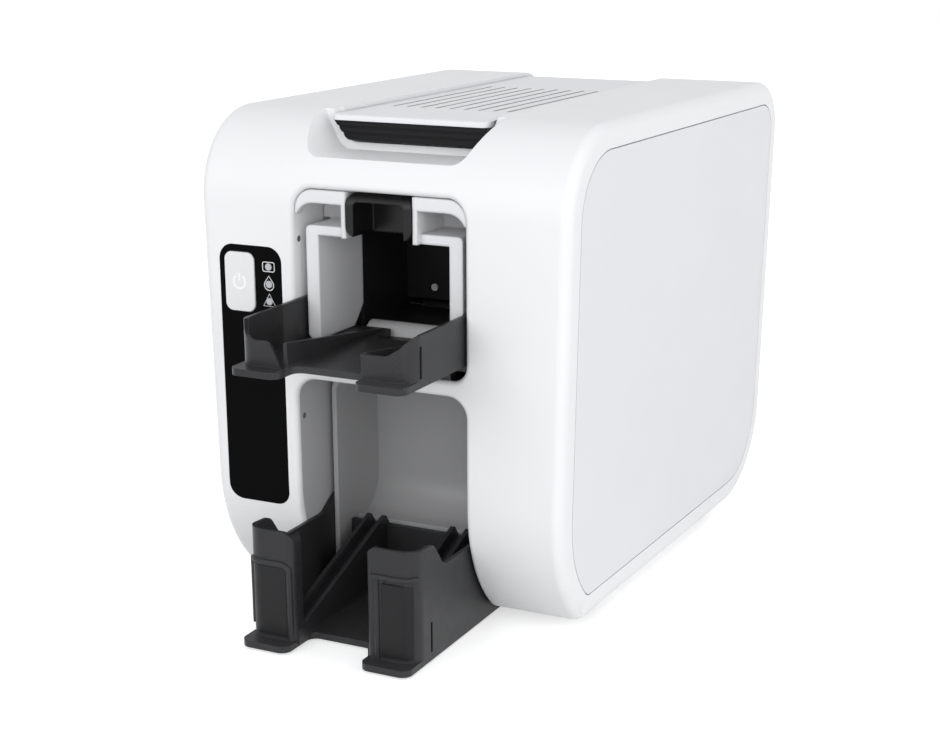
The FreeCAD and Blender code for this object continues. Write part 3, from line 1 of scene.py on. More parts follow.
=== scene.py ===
import math
import bmesh
import bpy
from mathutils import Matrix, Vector


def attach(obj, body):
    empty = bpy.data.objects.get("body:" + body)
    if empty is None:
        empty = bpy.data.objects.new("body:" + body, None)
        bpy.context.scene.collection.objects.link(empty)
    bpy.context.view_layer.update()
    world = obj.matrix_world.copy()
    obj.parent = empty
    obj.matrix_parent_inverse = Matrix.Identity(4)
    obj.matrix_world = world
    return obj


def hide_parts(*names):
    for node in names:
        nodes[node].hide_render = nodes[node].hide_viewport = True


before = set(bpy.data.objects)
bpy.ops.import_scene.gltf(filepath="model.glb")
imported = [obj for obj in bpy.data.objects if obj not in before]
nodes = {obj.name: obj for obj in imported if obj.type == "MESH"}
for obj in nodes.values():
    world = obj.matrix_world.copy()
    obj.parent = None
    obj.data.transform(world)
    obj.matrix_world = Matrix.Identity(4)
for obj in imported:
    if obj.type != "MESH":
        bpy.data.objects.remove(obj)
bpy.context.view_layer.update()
scene = bpy.context.scene

MM = 0.001
FRONT_SHIFT = -89.25  # from the front face to the origin of the frame


def at(x, y, z):
    """A point given in millimetres from the front face, in the row frame in metres."""
    return Vector((x * MM, (y + FRONT_SHIFT) * MM, z * MM))


# Camera

CAMERA_PLACE = Vector((0.31395, -0.64906, 0.26499))
YAW = math.radians(25.78)
PITCH = math.radians(17.166)
FOCAL_PIXELS = 1767.8
PICTURE_WIDTH = 940.0
PICTURE_HEIGHT = 752.0
CENTRE_X = 489.1
CENTRE_Y = 457.5
SENSOR = 36.0
CLIP_START = 0.01


def make_camera():
    """The photograph's camera, fitted to named points of the front and the right side."""
    data = bpy.data.cameras.new("camera")
    data.sensor_width = SENSOR
    data.lens = FOCAL_PIXELS * SENSOR / PICTURE_WIDTH
    data.shift_x = (PICTURE_WIDTH / 2 - CENTRE_X) / PICTURE_WIDTH
    data.shift_y = (CENTRE_Y - PICTURE_HEIGHT / 2) / PICTURE_WIDTH
    data.clip_start = CLIP_START
    camera = bpy.data.objects.new("camera", data)
    scene.collection.objects.link(camera)
    level = math.cos(PITCH)
    forward = Vector((-math.sin(YAW) * level, math.cos(YAW) * level, -math.sin(PITCH)))
    camera.location = CAMERA_PLACE
    camera.rotation_euler = forward.to_track_quat("-Z", "Y").to_euler()
    scene.camera = camera


make_camera()


# Materials

PLASTIC_GRAIN_DEPTH = 0.00004
METAL_MARK_DEPTH = 0.00003
RUBBER_GRAIN_DEPTH = 0.00006
BOARD_TRACK_DEPTH = 0.00005
PLASTIC_GLOSS_SPREAD = 0.12
METAL_GLOSS_SPREAD = 0.25
RUBBER_GLOSS_SPREAD = 0.1
FINE_EDGE = 0.0002
SOFT_EDGE = 0.0003
RUBBER_SHINE = 0.35


class Shader:
    """A node material with a principled shader and short ways to add nodes."""

    def __init__(self, name):
        self.material = bpy.data.materials.new(name)
        self.material.use_nodes = True
        self.tree = self.material.node_tree
        self.bsdf = self.tree.nodes["Principled BSDF"]
        self.coordinates = self.add("ShaderNodeTexCoord").outputs["Object"]

    def add(self, kind, **settings):
        node = self.tree.nodes.new(kind)
        for key, value in settings.items():
            setattr(node, key, value)
        return node

    def link(self, a, b):
        self.tree.links.new(a, b)

    def set(self, **values):
        for key, value in values.items():
            socket = self.bsdf.inputs[key.replace("_", " ")]
            socket.default_value = value

    def noise(self, scale, detail=2.0, roughness=0.5, stretch=None):
        """Value of a noise that may be stretched along an axis."""
        node = self.add("ShaderNodeTexNoise")
        node.inputs["Scale"].default_value = scale
        node.inputs["Detail"].default_value = detail
        node.inputs["Roughness"].default_value = roughness
        source = self.coordinates
        if stretch:
            mapping = self.add("ShaderNodeMapping")
            mapping.inputs["Scale"].default_value = stretch
            self.link(source, mapping.inputs["Vector"])
            source = mapping.outputs["Vector"]
        self.link(source, node.inputs["Vector"])
        return node.outputs["Fac"]

    def spread(self, value, low, high, start=0.3, end=0.7):
        """A value between start and end, mapped to low and high."""
        node = self.add("ShaderNodeMapRange")
        node.inputs["From Min"].default_value = start
        node.inputs["From Max"].default_value = end
        node.inputs["To Min"].default_value = low
        node.inputs["To Max"].default_value = high
        self.link(value, node.inputs["Value"])
        return node.outputs["Result"]

    def blend(self, factor, first, second):
        """Mix of two colours."""
        node = self.add("ShaderNodeMix", data_type="RGBA")
        node.inputs["A"].default_value = (*first, 1.0)
        node.inputs["B"].default_value = (*second, 1.0)
        for socket in node.inputs:
            if socket.name == "Factor" and socket.type == "VALUE":
                self.link(factor, socket)
        return next(socket for socket in node.outputs if socket.type == "RGBA")

    def bump(self, height, strength, distance, round_edges):
        """Fine relief on a surface whose edges look rounded."""
        bevel = self.add("ShaderNodeBevel", samples=4)
        bevel.inputs["Radius"].default_value = round_edges
        node = self.add("ShaderNodeBump")
        node.inputs["Strength"].default_value = strength
        node.inputs["Distance"].default_value = distance
        self.link(height, node.inputs["Height"])
        self.link(bevel.outputs["Normal"], node.inputs["Normal"])
        self.link(node.outputs["Normal"], self.bsdf.inputs["Normal"])


def shade(colour, factor):
    """A colour made lighter or darker."""
    return tuple(min(1.0, channel * factor) for channel in colour)


def plastic(name, colour, roughness, grain=2600.0, relief=0.25, patches=18.0, variation=0.02,
            edge=0.0004, shine=0.3, alpha=1.0, transmission=0.0, hollow_shade_reach=0.0):
    """Moulded plastic: fine spark-eroded grain, faint flow marks and uneven gloss, with painted shade
    darkening its hollows.
    """
    shader = Shader(name)
    flow = shader.noise(patches, 3.0, 0.55)
    colours = shader.blend(shader.spread(flow, 0.0, 1.0), shade(colour, 1 - variation),
                           shade(colour, 1 + variation))
    # painted shade: ambient occlusion darkens the colour in slots and hollows, where shade falls
    if hollow_shade_reach:
        hollow_shade = shader.add("ShaderNodeAmbientOcclusion", samples=8)
        hollow_shade.inputs["Distance"].default_value = hollow_shade_reach
        shader.link(colours, hollow_shade.inputs["Color"])
        colours = hollow_shade.outputs["Color"]
    shader.link(colours, shader.bsdf.inputs["Base Color"])
    gloss = shader.spread(shader.noise(patches * 4), roughness * (1 - PLASTIC_GLOSS_SPREAD),
                          roughness * (1 + PLASTIC_GLOSS_SPREAD))
    shader.link(gloss, shader.bsdf.inputs["Roughness"])
    shader.set(Specular_IOR_Level=shine, Alpha=alpha, Transmission_Weight=transmission)
    shader.bump(shader.noise(grain, 2.0, 0.6), relief, PLASTIC_GRAIN_DEPTH, edge)
    return shader.material


def metal(name, colour, roughness, stretch=(1.0, 1.0, 1.0), scratches=900.0, variation=0.06):
    """Metal with fine drawn marks along one direction."""
    shader = Shader(name)
    marks = shader.noise(scratches, 4.0, 0.6, stretch)
    colours = shader.blend(shader.spread(marks, 0.0, 1.0), shade(colour, 1 - variation),
                           shade(colour, 1 + variation))
    shader.link(colours, shader.bsdf.inputs["Base Color"])
    gloss = shader.spread(marks, roughness * (1 - METAL_GLOSS_SPREAD), roughness * (1 + METAL_GLOSS_SPREAD))
    shader.link(gloss, shader.bsdf.inputs["Roughness"])
    shader.set(Metallic=1.0)
    shader.bump(marks, 0.15, METAL_MARK_DEPTH, FINE_EDGE)
    return shader.material


def rubber(name, colour, roughness=0.75, grain=1800.0):
    """Dull rubber with fine specks."""
    shader = Shader(name)
    specks = shader.noise(grain, 3.0, 0.7)
    colours = shader.blend(shader.spread(specks, 0.0, 1.0), shade(colour, 0.88), shade(colour, 1.1))
    shader.link(colours, shader.bsdf.inputs["Base Color"])
    gloss = shader.spread(shader.noise(60.0), roughness * (1 - RUBBER_GLOSS_SPREAD),
                          roughness * (1 + RUBBER_GLOSS_SPREAD))
    shader.link(gloss, shader.bsdf.inputs["Roughness"])
    shader.set(Specular_IOR_Level=RUBBER_SHINE)
    shader.bump(specks, 0.4, RUBBER_GRAIN_DEPTH, SOFT_EDGE)
    return shader.material


def circuit(name):
    """Solder mask over straight copper tracks."""
    shader = Shader(name)
    bricks = shader.add("ShaderNodeTexBrick")
    bricks.inputs["Scale"].default_value = 160.0
    bricks.inputs["Mortar Size"].default_value = 0.03
    bricks.inputs["Color1"].default_value = (0.012, 0.14, 0.06, 1)
    bricks.inputs["Color2"].default_value = (0.015, 0.17, 0.07, 1)
    bricks.inputs["Mortar"].default_value = (0.03, 0.26, 0.12, 1)
    mapping = shader.add("ShaderNodeMapping")
    mapping.inputs["Rotation"].default_value = (0.0, math.pi / 2, 0.0)
    shader.link(shader.coordinates, mapping.inputs["Vector"])
    shader.link(mapping.outputs["Vector"], bricks.inputs["Vector"])
    shader.link(bricks.outputs["Color"], shader.bsdf.inputs["Base Color"])
    shader.link(shader.spread(shader.noise(120.0), 0.22, 0.34), shader.bsdf.inputs["Roughness"])
    shader.bump(bricks.outputs["Fac"], 0.3, BOARD_TRACK_DEPTH, FINE_EDGE)
    return shader.material


finishes = {
    "casing": plastic("casing_white", (0.87, 0.87, 0.875), 0.36, relief=0.12, variation=0.008,
                      edge=0.0002, shine=0.2),
    "side": plastic("side_white", (0.80, 0.80, 0.81), 0.42, relief=0.2, variation=0.008, edge=0.0005,
                    shine=0.3),
    # painted shade: the lid's colour is darkened in its vent slots
    "lid": plastic("lid_white", (0.84, 0.84, 0.85), 0.40, relief=0.15, variation=0.008, edge=0.0004,
                   shine=0.2, hollow_shade_reach=0.005),
    # painted shade: a grey for the walls inside the lower bay, which are the casing's white in shade
    "bay_shade": plastic("bay_painted_shade", (0.50, 0.50, 0.505), 0.45, relief=0.2, variation=0.01, edge=0.0002),
    "pale": plastic("pale_plastic", (0.80, 0.80, 0.81), 0.42, relief=0.3, variation=0.012, edge=0.0014),
    "chute": plastic("chute_plastic", (0.43, 0.43, 0.435), 0.38, relief=0.3, variation=0.015, edge=0.0005),
    "grip": plastic("grip_black", (0.010, 0.010, 0.011), 0.34, relief=0.3, variation=0.1, edge=0.0003,
                    shine=0.13),
    "gloss_black": plastic("gloss_black", (0.003, 0.003, 0.0033), 0.2, relief=0.04, variation=0.05,
                           edge=0.0002, shine=0.02),
    "hood": plastic("hood_black", (0.006, 0.006, 0.0065), 0.30, relief=0.05, variation=0.08, edge=0.0012,
                    shine=0.25),
    "button": plastic("button_white", (0.80, 0.80, 0.805), 0.28, relief=0.1, variation=0.01, edge=0.0003),
    "lamp": plastic("light_pipe", (0.70, 0.71, 0.73), 0.12, relief=0.05, variation=0.02, transmission=0.3),
    "print": plastic("panel_marks", (0.80, 0.80, 0.80), 0.4, relief=0.1, variation=0.02, edge=0.0001),
    "button_mark": plastic("button_mark", (0.96, 0.96, 0.96), 0.35, relief=0.1, variation=0.02, edge=0.0001),
    "dark": plastic("dark_plastic", (0.016, 0.016, 0.016), 0.36, relief=0.35, variation=0.12, edge=0.0004),
    "grey": plastic("grey_plastic", (0.20, 0.20, 0.205), 0.42, relief=0.3, variation=0.04),
    "sensor": plastic("sensor_grey", (0.75, 0.75, 0.75), 0.3, relief=0.2, variation=0.05),
    "smoke": plastic("smoke_plastic", (0.034, 0.034, 0.036), 0.33, grain=1500.0, relief=0.28, patches=40.0,
                     variation=0.10, edge=0.0005, shine=0.28, alpha=0.86),
    "smoke_low": plastic("smoke_plastic_low", (0.030, 0.030, 0.032), 0.38, grain=1500.0, relief=0.28,
                         patches=40.0, variation=0.10, edge=0.0005, shine=0.25, alpha=0.92),
    # painted shade for the recessed fields on the output tray's posts
    "smoke_shade": plastic("smoke_plastic_painted_shade", (0.013, 0.013, 0.014), 0.40, grain=1500.0, relief=0.28,
                          patches=40.0, variation=0.10, edge=0.0002, shine=0.18),
    "natural": plastic("natural_plastic", (0.70, 0.68, 0.60), 0.45, relief=0.2, variation=0.03),
    "film": plastic("ribbon_film", (0.010, 0.010, 0.014), 0.16, relief=0.1, variation=0.1, patches=90.0),
    "sheet": metal("sheet_steel", (0.55, 0.56, 0.57), 0.42, (1.0, 0.15, 1.0)),
    "steel": metal("bright_steel", (0.62, 0.62, 0.63), 0.28, (0.1, 1.0, 1.0)),
    "screw": metal("screw_steel", (0.30, 0.30, 0.31), 0.35),
    "motor": metal("motor_case", (0.35, 0.35, 0.36), 0.38, (0.2, 1.0, 1.0)),
    "brass": metal("gear_brass", (0.72, 0.50, 0.20), 0.3),
    "head": metal("head_metal", (0.48, 0.48, 0.49), 0.4, (0.1, 1.0, 1.0)),
    "feet": rubber("foot_rubber", (0.03, 0.03, 0.03)),
    "pale_rubber": rubber("pale_rubber", (0.55, 0.55, 0.55)),
    "dark_rubber": rubber("dark_rubber", (0.02, 0.02, 0.02)),
    "blue_rubber": rubber("blue_rubber", (0.04, 0.10, 0.22), 0.5),
    "board": circuit("circuit_board"),
}
by_node = {
    "casing": ["main_cover", "rear_panel"],
    "side": ["left_side_panel", "right_side_panel"],
    "lid": ["lid"],
    "pale": ["hopper_portal"],
    "chute": ["output_chute"],
    "grip": ["lid_grip"],
    "gloss_black": ["control_panel"],
    "button": ["power_button"],
    "lamp": ["status_lights"],
    "hood": ["hopper_hood"],
    "dark": ["hopper_liner", "tray_bed", "power_inlet"],
    "grey": ["supply_spool", "take_up_spool", "pinch_roller"],
    "sensor": ["hopper_sensor"],
    "smoke": ["input_tray"],
    "smoke_low": ["output_tray"],
    "natural": ["shaft_bushes", "pick_gear", "entry_gear", "platen_gear", "exit_gear", "idler_gear_front",
                "idler_gear_middle", "idler_gear_rear", "winder_idler_gear", "take_up_gear"],
    "film": ["supply_ribbon", "take_up_ribbon", "ribbon_film"],
    "sheet": ["base_plate", "chassis_left_plate", "chassis_right_plate", "head_bracket"],
    "steel": ["lid_hinge_rod", "tie_bars", "idler_posts", "pick_shaft", "entry_shaft", "platen_shaft",
              "exit_shaft", "board_standoffs", "usb_socket"],
    "screw": ["rear_panel_screws"],
    "motor": ["drive_motor"],
    "brass": ["motor_pinion"],
    "head": ["print_head"],
    "feet": ["rubber_feet"],
    "pale_rubber": ["pick_roller"],
    "dark_rubber": ["entry_roller", "platen_roller", "exit_roller"],
    "blue_rubber": ["cleaning_roller"],
    "board": ["main_board", "button_board"],
}


def paint(obj, material):
    """One material on the whole of an object."""
    if not obj.material_slots:
        obj.data.materials.append(material)
    for slot in obj.material_slots:
        slot.material = material


for finish, names in by_node.items():
    for name in names:
        paint(nodes[name], finishes[finish])


# Casing and right side panel, with the crisp edge and the narrower front of the photograph
# All sizes are in millimetres, and y runs from the front face to the rear.

BODY_HALF = 80.3
BODY_TOP = 193.3
BODY_DEPTH = 225.0
SIDE_TAPER = 3.4
EDGE_RADIUS = 4.5
TOLERANCE = 0.1
CHAMFER = 5.3
FRONT_SQUEEZE = 4.9
SQUEEZE_FROM = 69.0
SIDE_OUTLINE = ((0.0, 24.58, 60.0), (22.52, 4.3, 7.5), (225.0, 4.3, 40.0), (225.0, 193.3, 22.0),
                (0.0, 193.3, 34.0))
BAY_CENTRE = -2.4
BAY_HALF = 36.2
WALL_TILT = 0.06
SCREW_DEPTH = 1.05
SCREW_HALF = 1.4
SCREW_PLACES = ((5.0, 147.0), (5.0, 77.7))
LOWER_BAY_HIGH = 93.8
UPPER_BAY_LOW = 99.8
UPPER_BAY_HIGH = 166.7
POCKET_HALF = 29.4
POCKET_FRONT = 30.9
POCKET_REAR = 36.1
POCKET_LOW = 178.6
POCKET_HIGH = 182.3
POCKET_LIFT = 2.2
POCKET_SLANT = 0.51
SHARP_ANGLE = math.radians(33)
WELD = 1e-6
OUTLINE_STEPS = 48
# painted shade: the last three numbers give walls deep in the bays and the screw holes darker materials in
# place of their shade
FRONT_FINISH, LOWER_BAY_SHADE, UPPER_BAY_SHADE, SCREW_HOLE_SHADE = range(4)


def rounded_outline(corners):
    """Points of a closed outline through corners (y, z, radius), each corner rounded."""
    points = []
    count = len(corners)
    for index, (y, z, radius) in enumerate(corners):
        corner = Vector((y, z))
        before = (Vector(corners[index - 1][:2]) - corner).normalized()
        after = (Vector(corners[(index + 1) % count][:2]) - corner).normalized()
        half = before.angle(after) / 2
        middle = corner + (before + after).normalized() * radius / math.sin(half)
        first = corner + before * radius / math.tan(half) - middle
        last = corner + after * radius / math.tan(half) - middle
        for step in range(OUTLINE_STEPS + 1):
            points.append(middle + first.slerp(last, step / OUTLINE_STEPS))
    return points


def nearest_on(points, spot):
    """Distance from a spot to a closed outline, and the nearest point of it."""
    best = math.inf, None
    for index, end in enumerate(points):
        start = points[index - 1]
        along = end - start
        length = along.length_squared
        share = max(0.0, min(1.0, (spot - start).dot(along) / length)) if length else 0.0
        foot = start + along * share
        gap = (spot - foot).length
        if gap < best[0]:
            best = gap, foot
    return best


side_outline = rounded_outline(SIDE_OUTLINE)


def chamfered(x, y, z):
    """A point on the rounding of the right side, moved on to a flat chamfer."""
    aside = BODY_HALF - SIDE_TAPER * (BODY_TOP - z) / BODY_TOP - x
    if not -TOLERANCE < aside < EDGE_RADIUS + TOLERANCE:
        return x, y, z
    inset, foot = nearest_on(side_outline, Vector((y, z)))
    if inset > EDGE_RADIUS + TOLERANCE:
        return x, y, z
    reach = math.hypot(EDGE_RADIUS - inset, EDGE_RADIUS - aside)
    if abs(reach - EDGE_RADIUS) > TOLERANCE:
        return x, y, z
    share = math.atan2(max(EDGE_RADIUS - aside, 0.0), max(EDGE_RADIUS - inset, 0.0)) / (math.pi / 2)
    place = foot + (Vector((y, z)) - foot).normalized() * share * CHAMFER
    half = BODY_HALF - SIDE_TAPER * (BODY_TOP - place.y) / BODY_TOP
    return half - (1 - share) * CHAMFER, place.x, place.y


def pocket_lifted(x, y, z):
    """The floor of the pocket behind the grip strip, moved up its slanting walls."""
    aside = x - BAY_CENTRE
    if abs(aside) < POCKET_HALF and POCKET_FRONT < y < POCKET_REAR and POCKET_LOW < z < POCKET_HIGH:
        return x + math.copysign(POCKET_LIFT * POCKET_SLANT, aside), y, z + POCKET_LIFT
    return x, y, z


def squeezed(x, y, z):
    """The right wall, turned inwards towards the front."""
    if x > SQUEEZE_FROM:
        return x - FRONT_SQUEEZE * (1 - y / BODY_DEPTH), y, z
    return x, y, z


def painted_wall_shade(x, y, z, tilt):
    """Number of the finish of a face of the casing, from its middle and how far it tilts to the front; walls
    inside the bays and the screw holes get painted shade.
    """
    for screw_y, screw_z in SCREW_PLACES:
        beside = math.hypot(y - screw_y, z - screw_z) < SCREW_HALF
        if beside and TOLERANCE < BAY_CENTRE - BAY_HALF - x < SCREW_DEPTH:
            return SCREW_HOLE_SHADE
    if abs(tilt) > WALL_TILT or abs(x - BAY_CENTRE) > BAY_HALF + TOLERANCE:
        return FRONT_FINISH
    if z < LOWER_BAY_HIGH + TOLERANCE:
        return LOWER_BAY_SHADE
    if x > BAY_CENTRE and UPPER_BAY_LOW - TOLERANCE < z < UPPER_BAY_HIGH + TOLERANCE:
        return UPPER_BAY_SHADE
    return FRONT_FINISH


def from_front(point):
    """A point of the frame in millimetres, from the front face."""
    return point.x / MM, point.y / MM - FRONT_SHIFT, point.z / MM


def linked(name, work):
    """An object in the scene, with the mesh of a bmesh."""
    data = bpy.data.meshes.new(name)
    work.to_mesh(data)
    work.free()
    piece = bpy.data.objects.new(name, data)
    scene.collection.objects.link(piece)
    return piece


def reshaped(name, node, finish, changes, shaded_walls=()):
    """A copy of a node's mesh with its points moved, which stands for the node.

    The extra finishes paint shade on the walls deep in the bays and in the screw holes of the casing.
    """
    work = bmesh.new()
    work.from_mesh(nodes[node].data)
    bmesh.ops.remove_doubles(work, verts=work.verts, dist=WELD)
    for vertex in work.verts:
        spot = from_front(vertex.co)
        for change in changes:
            spot = change(*spot)
        vertex.co = at(*spot)
    piece = linked(name, work)
    data = piece.data
    for extra in ("custom_normal", "sharp_edge", "sharp_face"):
        if extra in data.attributes:
            data.attributes.remove(data.attributes[extra])
    data.shade_smooth()
    data.set_sharp_from_angle(angle=SHARP_ANGLE)
    weighted = piece.modifiers.new("normals", "WEIGHTED_NORMAL")
    weighted.keep_sharp = True
    paint(piece, finishes[finish])
    for shaded_wall in shaded_walls:
        data.materials.append(finishes[shaded_wall])
    if shaded_walls:
        for face in data.polygons:
            face.material_index = painted_wall_shade(*from_front(face.center), face.normal.y)
    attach(piece, "casing")
    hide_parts(node)


# painted shade: the casing's walls inside the bays and its screw holes get grey and black finishes
reshaped("casing_shell", "main_cover", "casing", (chamfered, pocket_lifted, squeezed),
         ("bay_shade", "dark", "grey"))
reshaped("side_skin_right", "right_side_panel", "side", (squeezed,))


# Small pieces on the surfaces

MARK_DEPTH = 0.12
SIGN_WIDTH = 0.315
LIGHT_X = -49.4
CARD_Z = 136.1
CARD_HALF_WIDTH = 1.9
CARD_HALF_HEIGHT = 1.1
CARD_CORNER = 0.7
DROP_Z = 129.1
DROP_RADIUS = 2.05
DROP_ARC = (150, 390)
DROP_TIP = 132.6
WARNING_HALF = 2.7
WARNING_LOW = 120.9
WARNING_HIGH = 125.7
BUTTON_X = -62.45
BUTTON_Z = 129.4
BUTTON_FRONT = -0.5
POWER_WIDTH = 0.8
POWER_RADIUS = 2.6
POWER_ARC = (125, 415)
STROKE_LOW = 0.6
STROKE_HIGH = 3.4
TRAY_FRONT = -40.0
TRAY_CORNER = 7.0
POST_LEFT = -38.1
POST_RIGHT = 33.3
FRONT_ANGLE = 270
LEFT_ANGLE = 212
LEFT_SIDE_ANGLE = 205
RIGHT_ANGLE = 318
RIGHT_BEAD_ANGLE = 335
BEAD_RADIUS = 1.1
BEAD_SIDES = 10
LEFT_BEAD_HIGH = 33.65
LEFT_BEAD_X = -19.35
LEFT_BEAD_TURN = 3.25
LEFT_BEAD_SIDE_HEIGHTS = (7.0, 20.0, 29.0)
RIGHT_BEAD_HIGH = 35.6
RIGHT_BEAD_START = 15.2
RIGHT_BEAD_X = 17.6
BEAD_LOW = 3.2
PANEL_LIFT = 0.15
PANEL_LOW = 4.7
LEFT_PANEL_HIGH = 32.15
LEFT_PANEL_END = -21.0
RIGHT_PANEL_HIGH = 33.15
RIGHT_PANEL_START = 19.4


def mesh_piece(name, build, finish, body):
    """A new piece from a bmesh, painted, on a body and with a finish of the record."""
    work = bmesh.new()
    build(work)
    bmesh.ops.recalc_face_normals(work, faces=work.faces)
    piece = linked(name, work)
    paint(piece, finishes[finish])
    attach(piece, body)
    return piece


def join(work, rings, closed=False):
    """Faces between rings of vertices in a row, which is closed in itself or has a cap at each end."""
    for first, second in zip(rings, rings[1:] + rings[:1] if closed else rings[1:]):
        for corner in range(len(first)):
            following = (corner + 1) % len(first)
            work.faces.new((first[corner], first[following], second[following], second[corner]))
    if not closed:
        work.faces.new(rings[0])
        work.faces.new(rings[-1][::-1])


def ribbon(work, points, width, front, closed=False):
    """Flat raised line that follows points (x, z), facing the front."""
    rings = []
    count = len(points)
    for index, (x, z) in enumerate(points):
        before = points[index - 1] if closed or index else points[index]
        after = points[(index + 1) % count] if closed or index < count - 1 else points[index]
        along = Vector((after[0] - before[0], after[1] - before[1])).normalized()
        side = Vector((-along.y, along.x)) * width / 2
        ring = []
        rear = front + MARK_DEPTH
        for sign, y in ((-1, front), (1, front), (1, rear), (-1, rear)):
            ring.append(work.verts.new(at(x + sign * side.x, y, z + sign * side.y)))
        rings.append(ring)
    join(work, rings, closed)


def arc_points(x, z, radius, start, end, count):
    """Points of an arc between two angles in degrees."""
    points = []
    for index in range(count):
        angle = math.radians(start + (end - start) * index / (count - 1))
        points.append((x + radius * math.cos(angle), z + radius * math.sin(angle)))
    return points


def power_mark(work):
    """Broken ring with a stroke."""
    front = BUTTON_FRONT - MARK_DEPTH / 2
    ribbon(work, arc_points(BUTTON_X, BUTTON_Z, POWER_RADIUS, *POWER_ARC, 30), POWER_WIDTH, front)
    stroke = [(BUTTON_X, BUTTON_Z + STROKE_LOW), (BUTTON_X, BUTTON_Z + STROKE_HIGH)]
    ribbon(work, stroke, POWER_WIDTH, front)


def light_marks(work):
    """Card, drop and warning triangle round the three lights."""
    card = []
    for quarter, (across, up) in enumerate(((1, 1), (-1, 1), (-1, -1), (1, -1))):
        card += arc_points(LIGHT_X + across * CARD_HALF_WIDTH, CARD_Z + up * CARD_HALF_HEIGHT, CARD_CORNER,
                           90 * quarter, 90 * quarter + 90, 5)
    drop = arc_points(LIGHT_X, DROP_Z, DROP_RADIUS, *DROP_ARC, 18) + [(LIGHT_X, DROP_TIP)]
    triangle = [(LIGHT_X - WARNING_HALF, WARNING_LOW), (LIGHT_X + WARNING_HALF, WARNING_LOW),
                (LIGHT_X, WARNING_HIGH)]
    for points in (card, drop, triangle):
        ribbon(work, points, SIGN_WIDTH, -MARK_DEPTH / 2, True)


def post_corner(edge, start, end, count=8):
    """Points (x, y) on the rounded corner of a tray post, between two angles in degrees."""
    middle = edge + math.copysign(TRAY_CORNER, -edge)
    return arc_points(middle, TRAY_FRONT + TRAY_CORNER, TRAY_CORNER, start, end, count)


def tube(work, path):
    """Round bead along a path."""
    path = [Vector(point) for point in path]
    rings = []
    normal = None
    for index, point in enumerate(path):
        along = (path[min(index + 1, len(path) - 1)] - path[max(index - 1, 0)]).normalized()
        normal = along.orthogonal() if normal is None else normal - along * normal.dot(along)
        normal.normalize()
        other = along.cross(normal)
        ring = []
        for side in range(BEAD_SIDES):
            angle = 2 * math.pi * side / BEAD_SIDES
            spot = point + (normal * math.cos(angle) + other * math.sin(angle)) * BEAD_RADIUS
            ring.append(work.verts.new(at(*spot)))
        rings.append(ring)
    join(work, rings)


def post_shade_sheet(work, line, high):
    """Thin sheet of painted shade on the face of a tray post, along a line of points (x, y)."""
    rings = []
    for index, (x, y) in enumerate(line):
        along = Vector(line[min(index + 1, len(line) - 1)]) - Vector(line[max(index - 1, 0)])
        out = Vector((along.y, -along.x)).normalized() * PANEL_LIFT
        ring = []
        for sign, z in ((1, PANEL_LOW), (1, high), (-1, high), (-1, PANEL_LOW)):
            ring.append(work.verts.new(at(x + sign * out.x, y + sign * out.y, z)))
        rings.append(ring)
    join(work, rings)


def left_bead(work):
    """Bead up the outer side of the left post, round its front and down again."""
    side = post_corner(POST_LEFT, LEFT_SIDE_ANGLE, FRONT_ANGLE, 2)[0]
    path = [(*side, z) for z in LEFT_BEAD_SIDE_HEIGHTS]
    path += [(x, y, LEFT_BEAD_HIGH) for x, y in post_corner(POST_LEFT, LEFT_ANGLE, FRONT_ANGLE)]
    turn = arc_points(LEFT_BEAD_X - LEFT_BEAD_TURN, LEFT_BEAD_HIGH - LEFT_BEAD_TURN, LEFT_BEAD_TURN, 90, 0, 6)
    path += [(x, TRAY_FRONT, z) for x, z in turn]
    path.append((LEFT_BEAD_X, TRAY_FRONT, BEAD_LOW))
    tube(work, path)


def right_beads(work):
    """Bead across the right post and one down its inner side."""
    line = [(RIGHT_BEAD_START, TRAY_FRONT)] + post_corner(POST_RIGHT, FRONT_ANGLE, RIGHT_BEAD_ANGLE)
    tube(work, [(x, y, RIGHT_BEAD_HIGH) for x, y in line])
    tube(work, [(RIGHT_BEAD_X, TRAY_FRONT, RIGHT_BEAD_HIGH), (RIGHT_BEAD_X, TRAY_FRONT, BEAD_LOW)])


def left_recess_shade(work):
    """Painted shade: a darker sheet over the recess inside the left post's bead."""
    line = post_corner(POST_LEFT, LEFT_ANGLE, FRONT_ANGLE) + [(LEFT_PANEL_END, TRAY_FRONT)]
    post_shade_sheet(work, line, LEFT_PANEL_HIGH)


def right_recess_shade(work):
    """Painted shade: a darker sheet over the recess beside the right post's beads."""
    line = [(RIGHT_PANEL_START, TRAY_FRONT)] + post_corner(POST_RIGHT, FRONT_ANGLE, RIGHT_ANGLE)
    post_shade_sheet(work, line, RIGHT_PANEL_HIGH)


for name, build, finish in (
        ("tray_bead_left", left_bead, "smoke_low"),
        ("tray_beads_right", right_beads, "smoke_low"),
        ("tray_recess_shade_left", left_recess_shade, "smoke_shade"),
        ("tray_recess_shade_right", right_recess_shade, "smoke_shade")):
    piece = mesh_piece(name, build, finish, "output_tray")
    piece.data.shade_smooth()
    piece.data.set_sharp_from_angle(angle=SHARP_ANGLE)
mesh_piece("power_mark", power_mark, "button_mark", "button")
mesh_piece("light_marks", light_marks, "print", "casing")


# Floor and light

FLOOR_HALF = 4.0
FLOOR_COLOUR = (0.86, 0.86, 0.86, 1)
FLOOR_ROUGHNESS = 0.25
FLOOR_GLOW = 0.55
UNSEEN_FLOOR_COLOUR = (0.80, 0.80, 0.80, 1)
SKY_COLOUR = (0.95, 0.97, 1.0, 1)
SKY_STRENGTH = 0.56
WHITE = (1, 1, 1, 1)
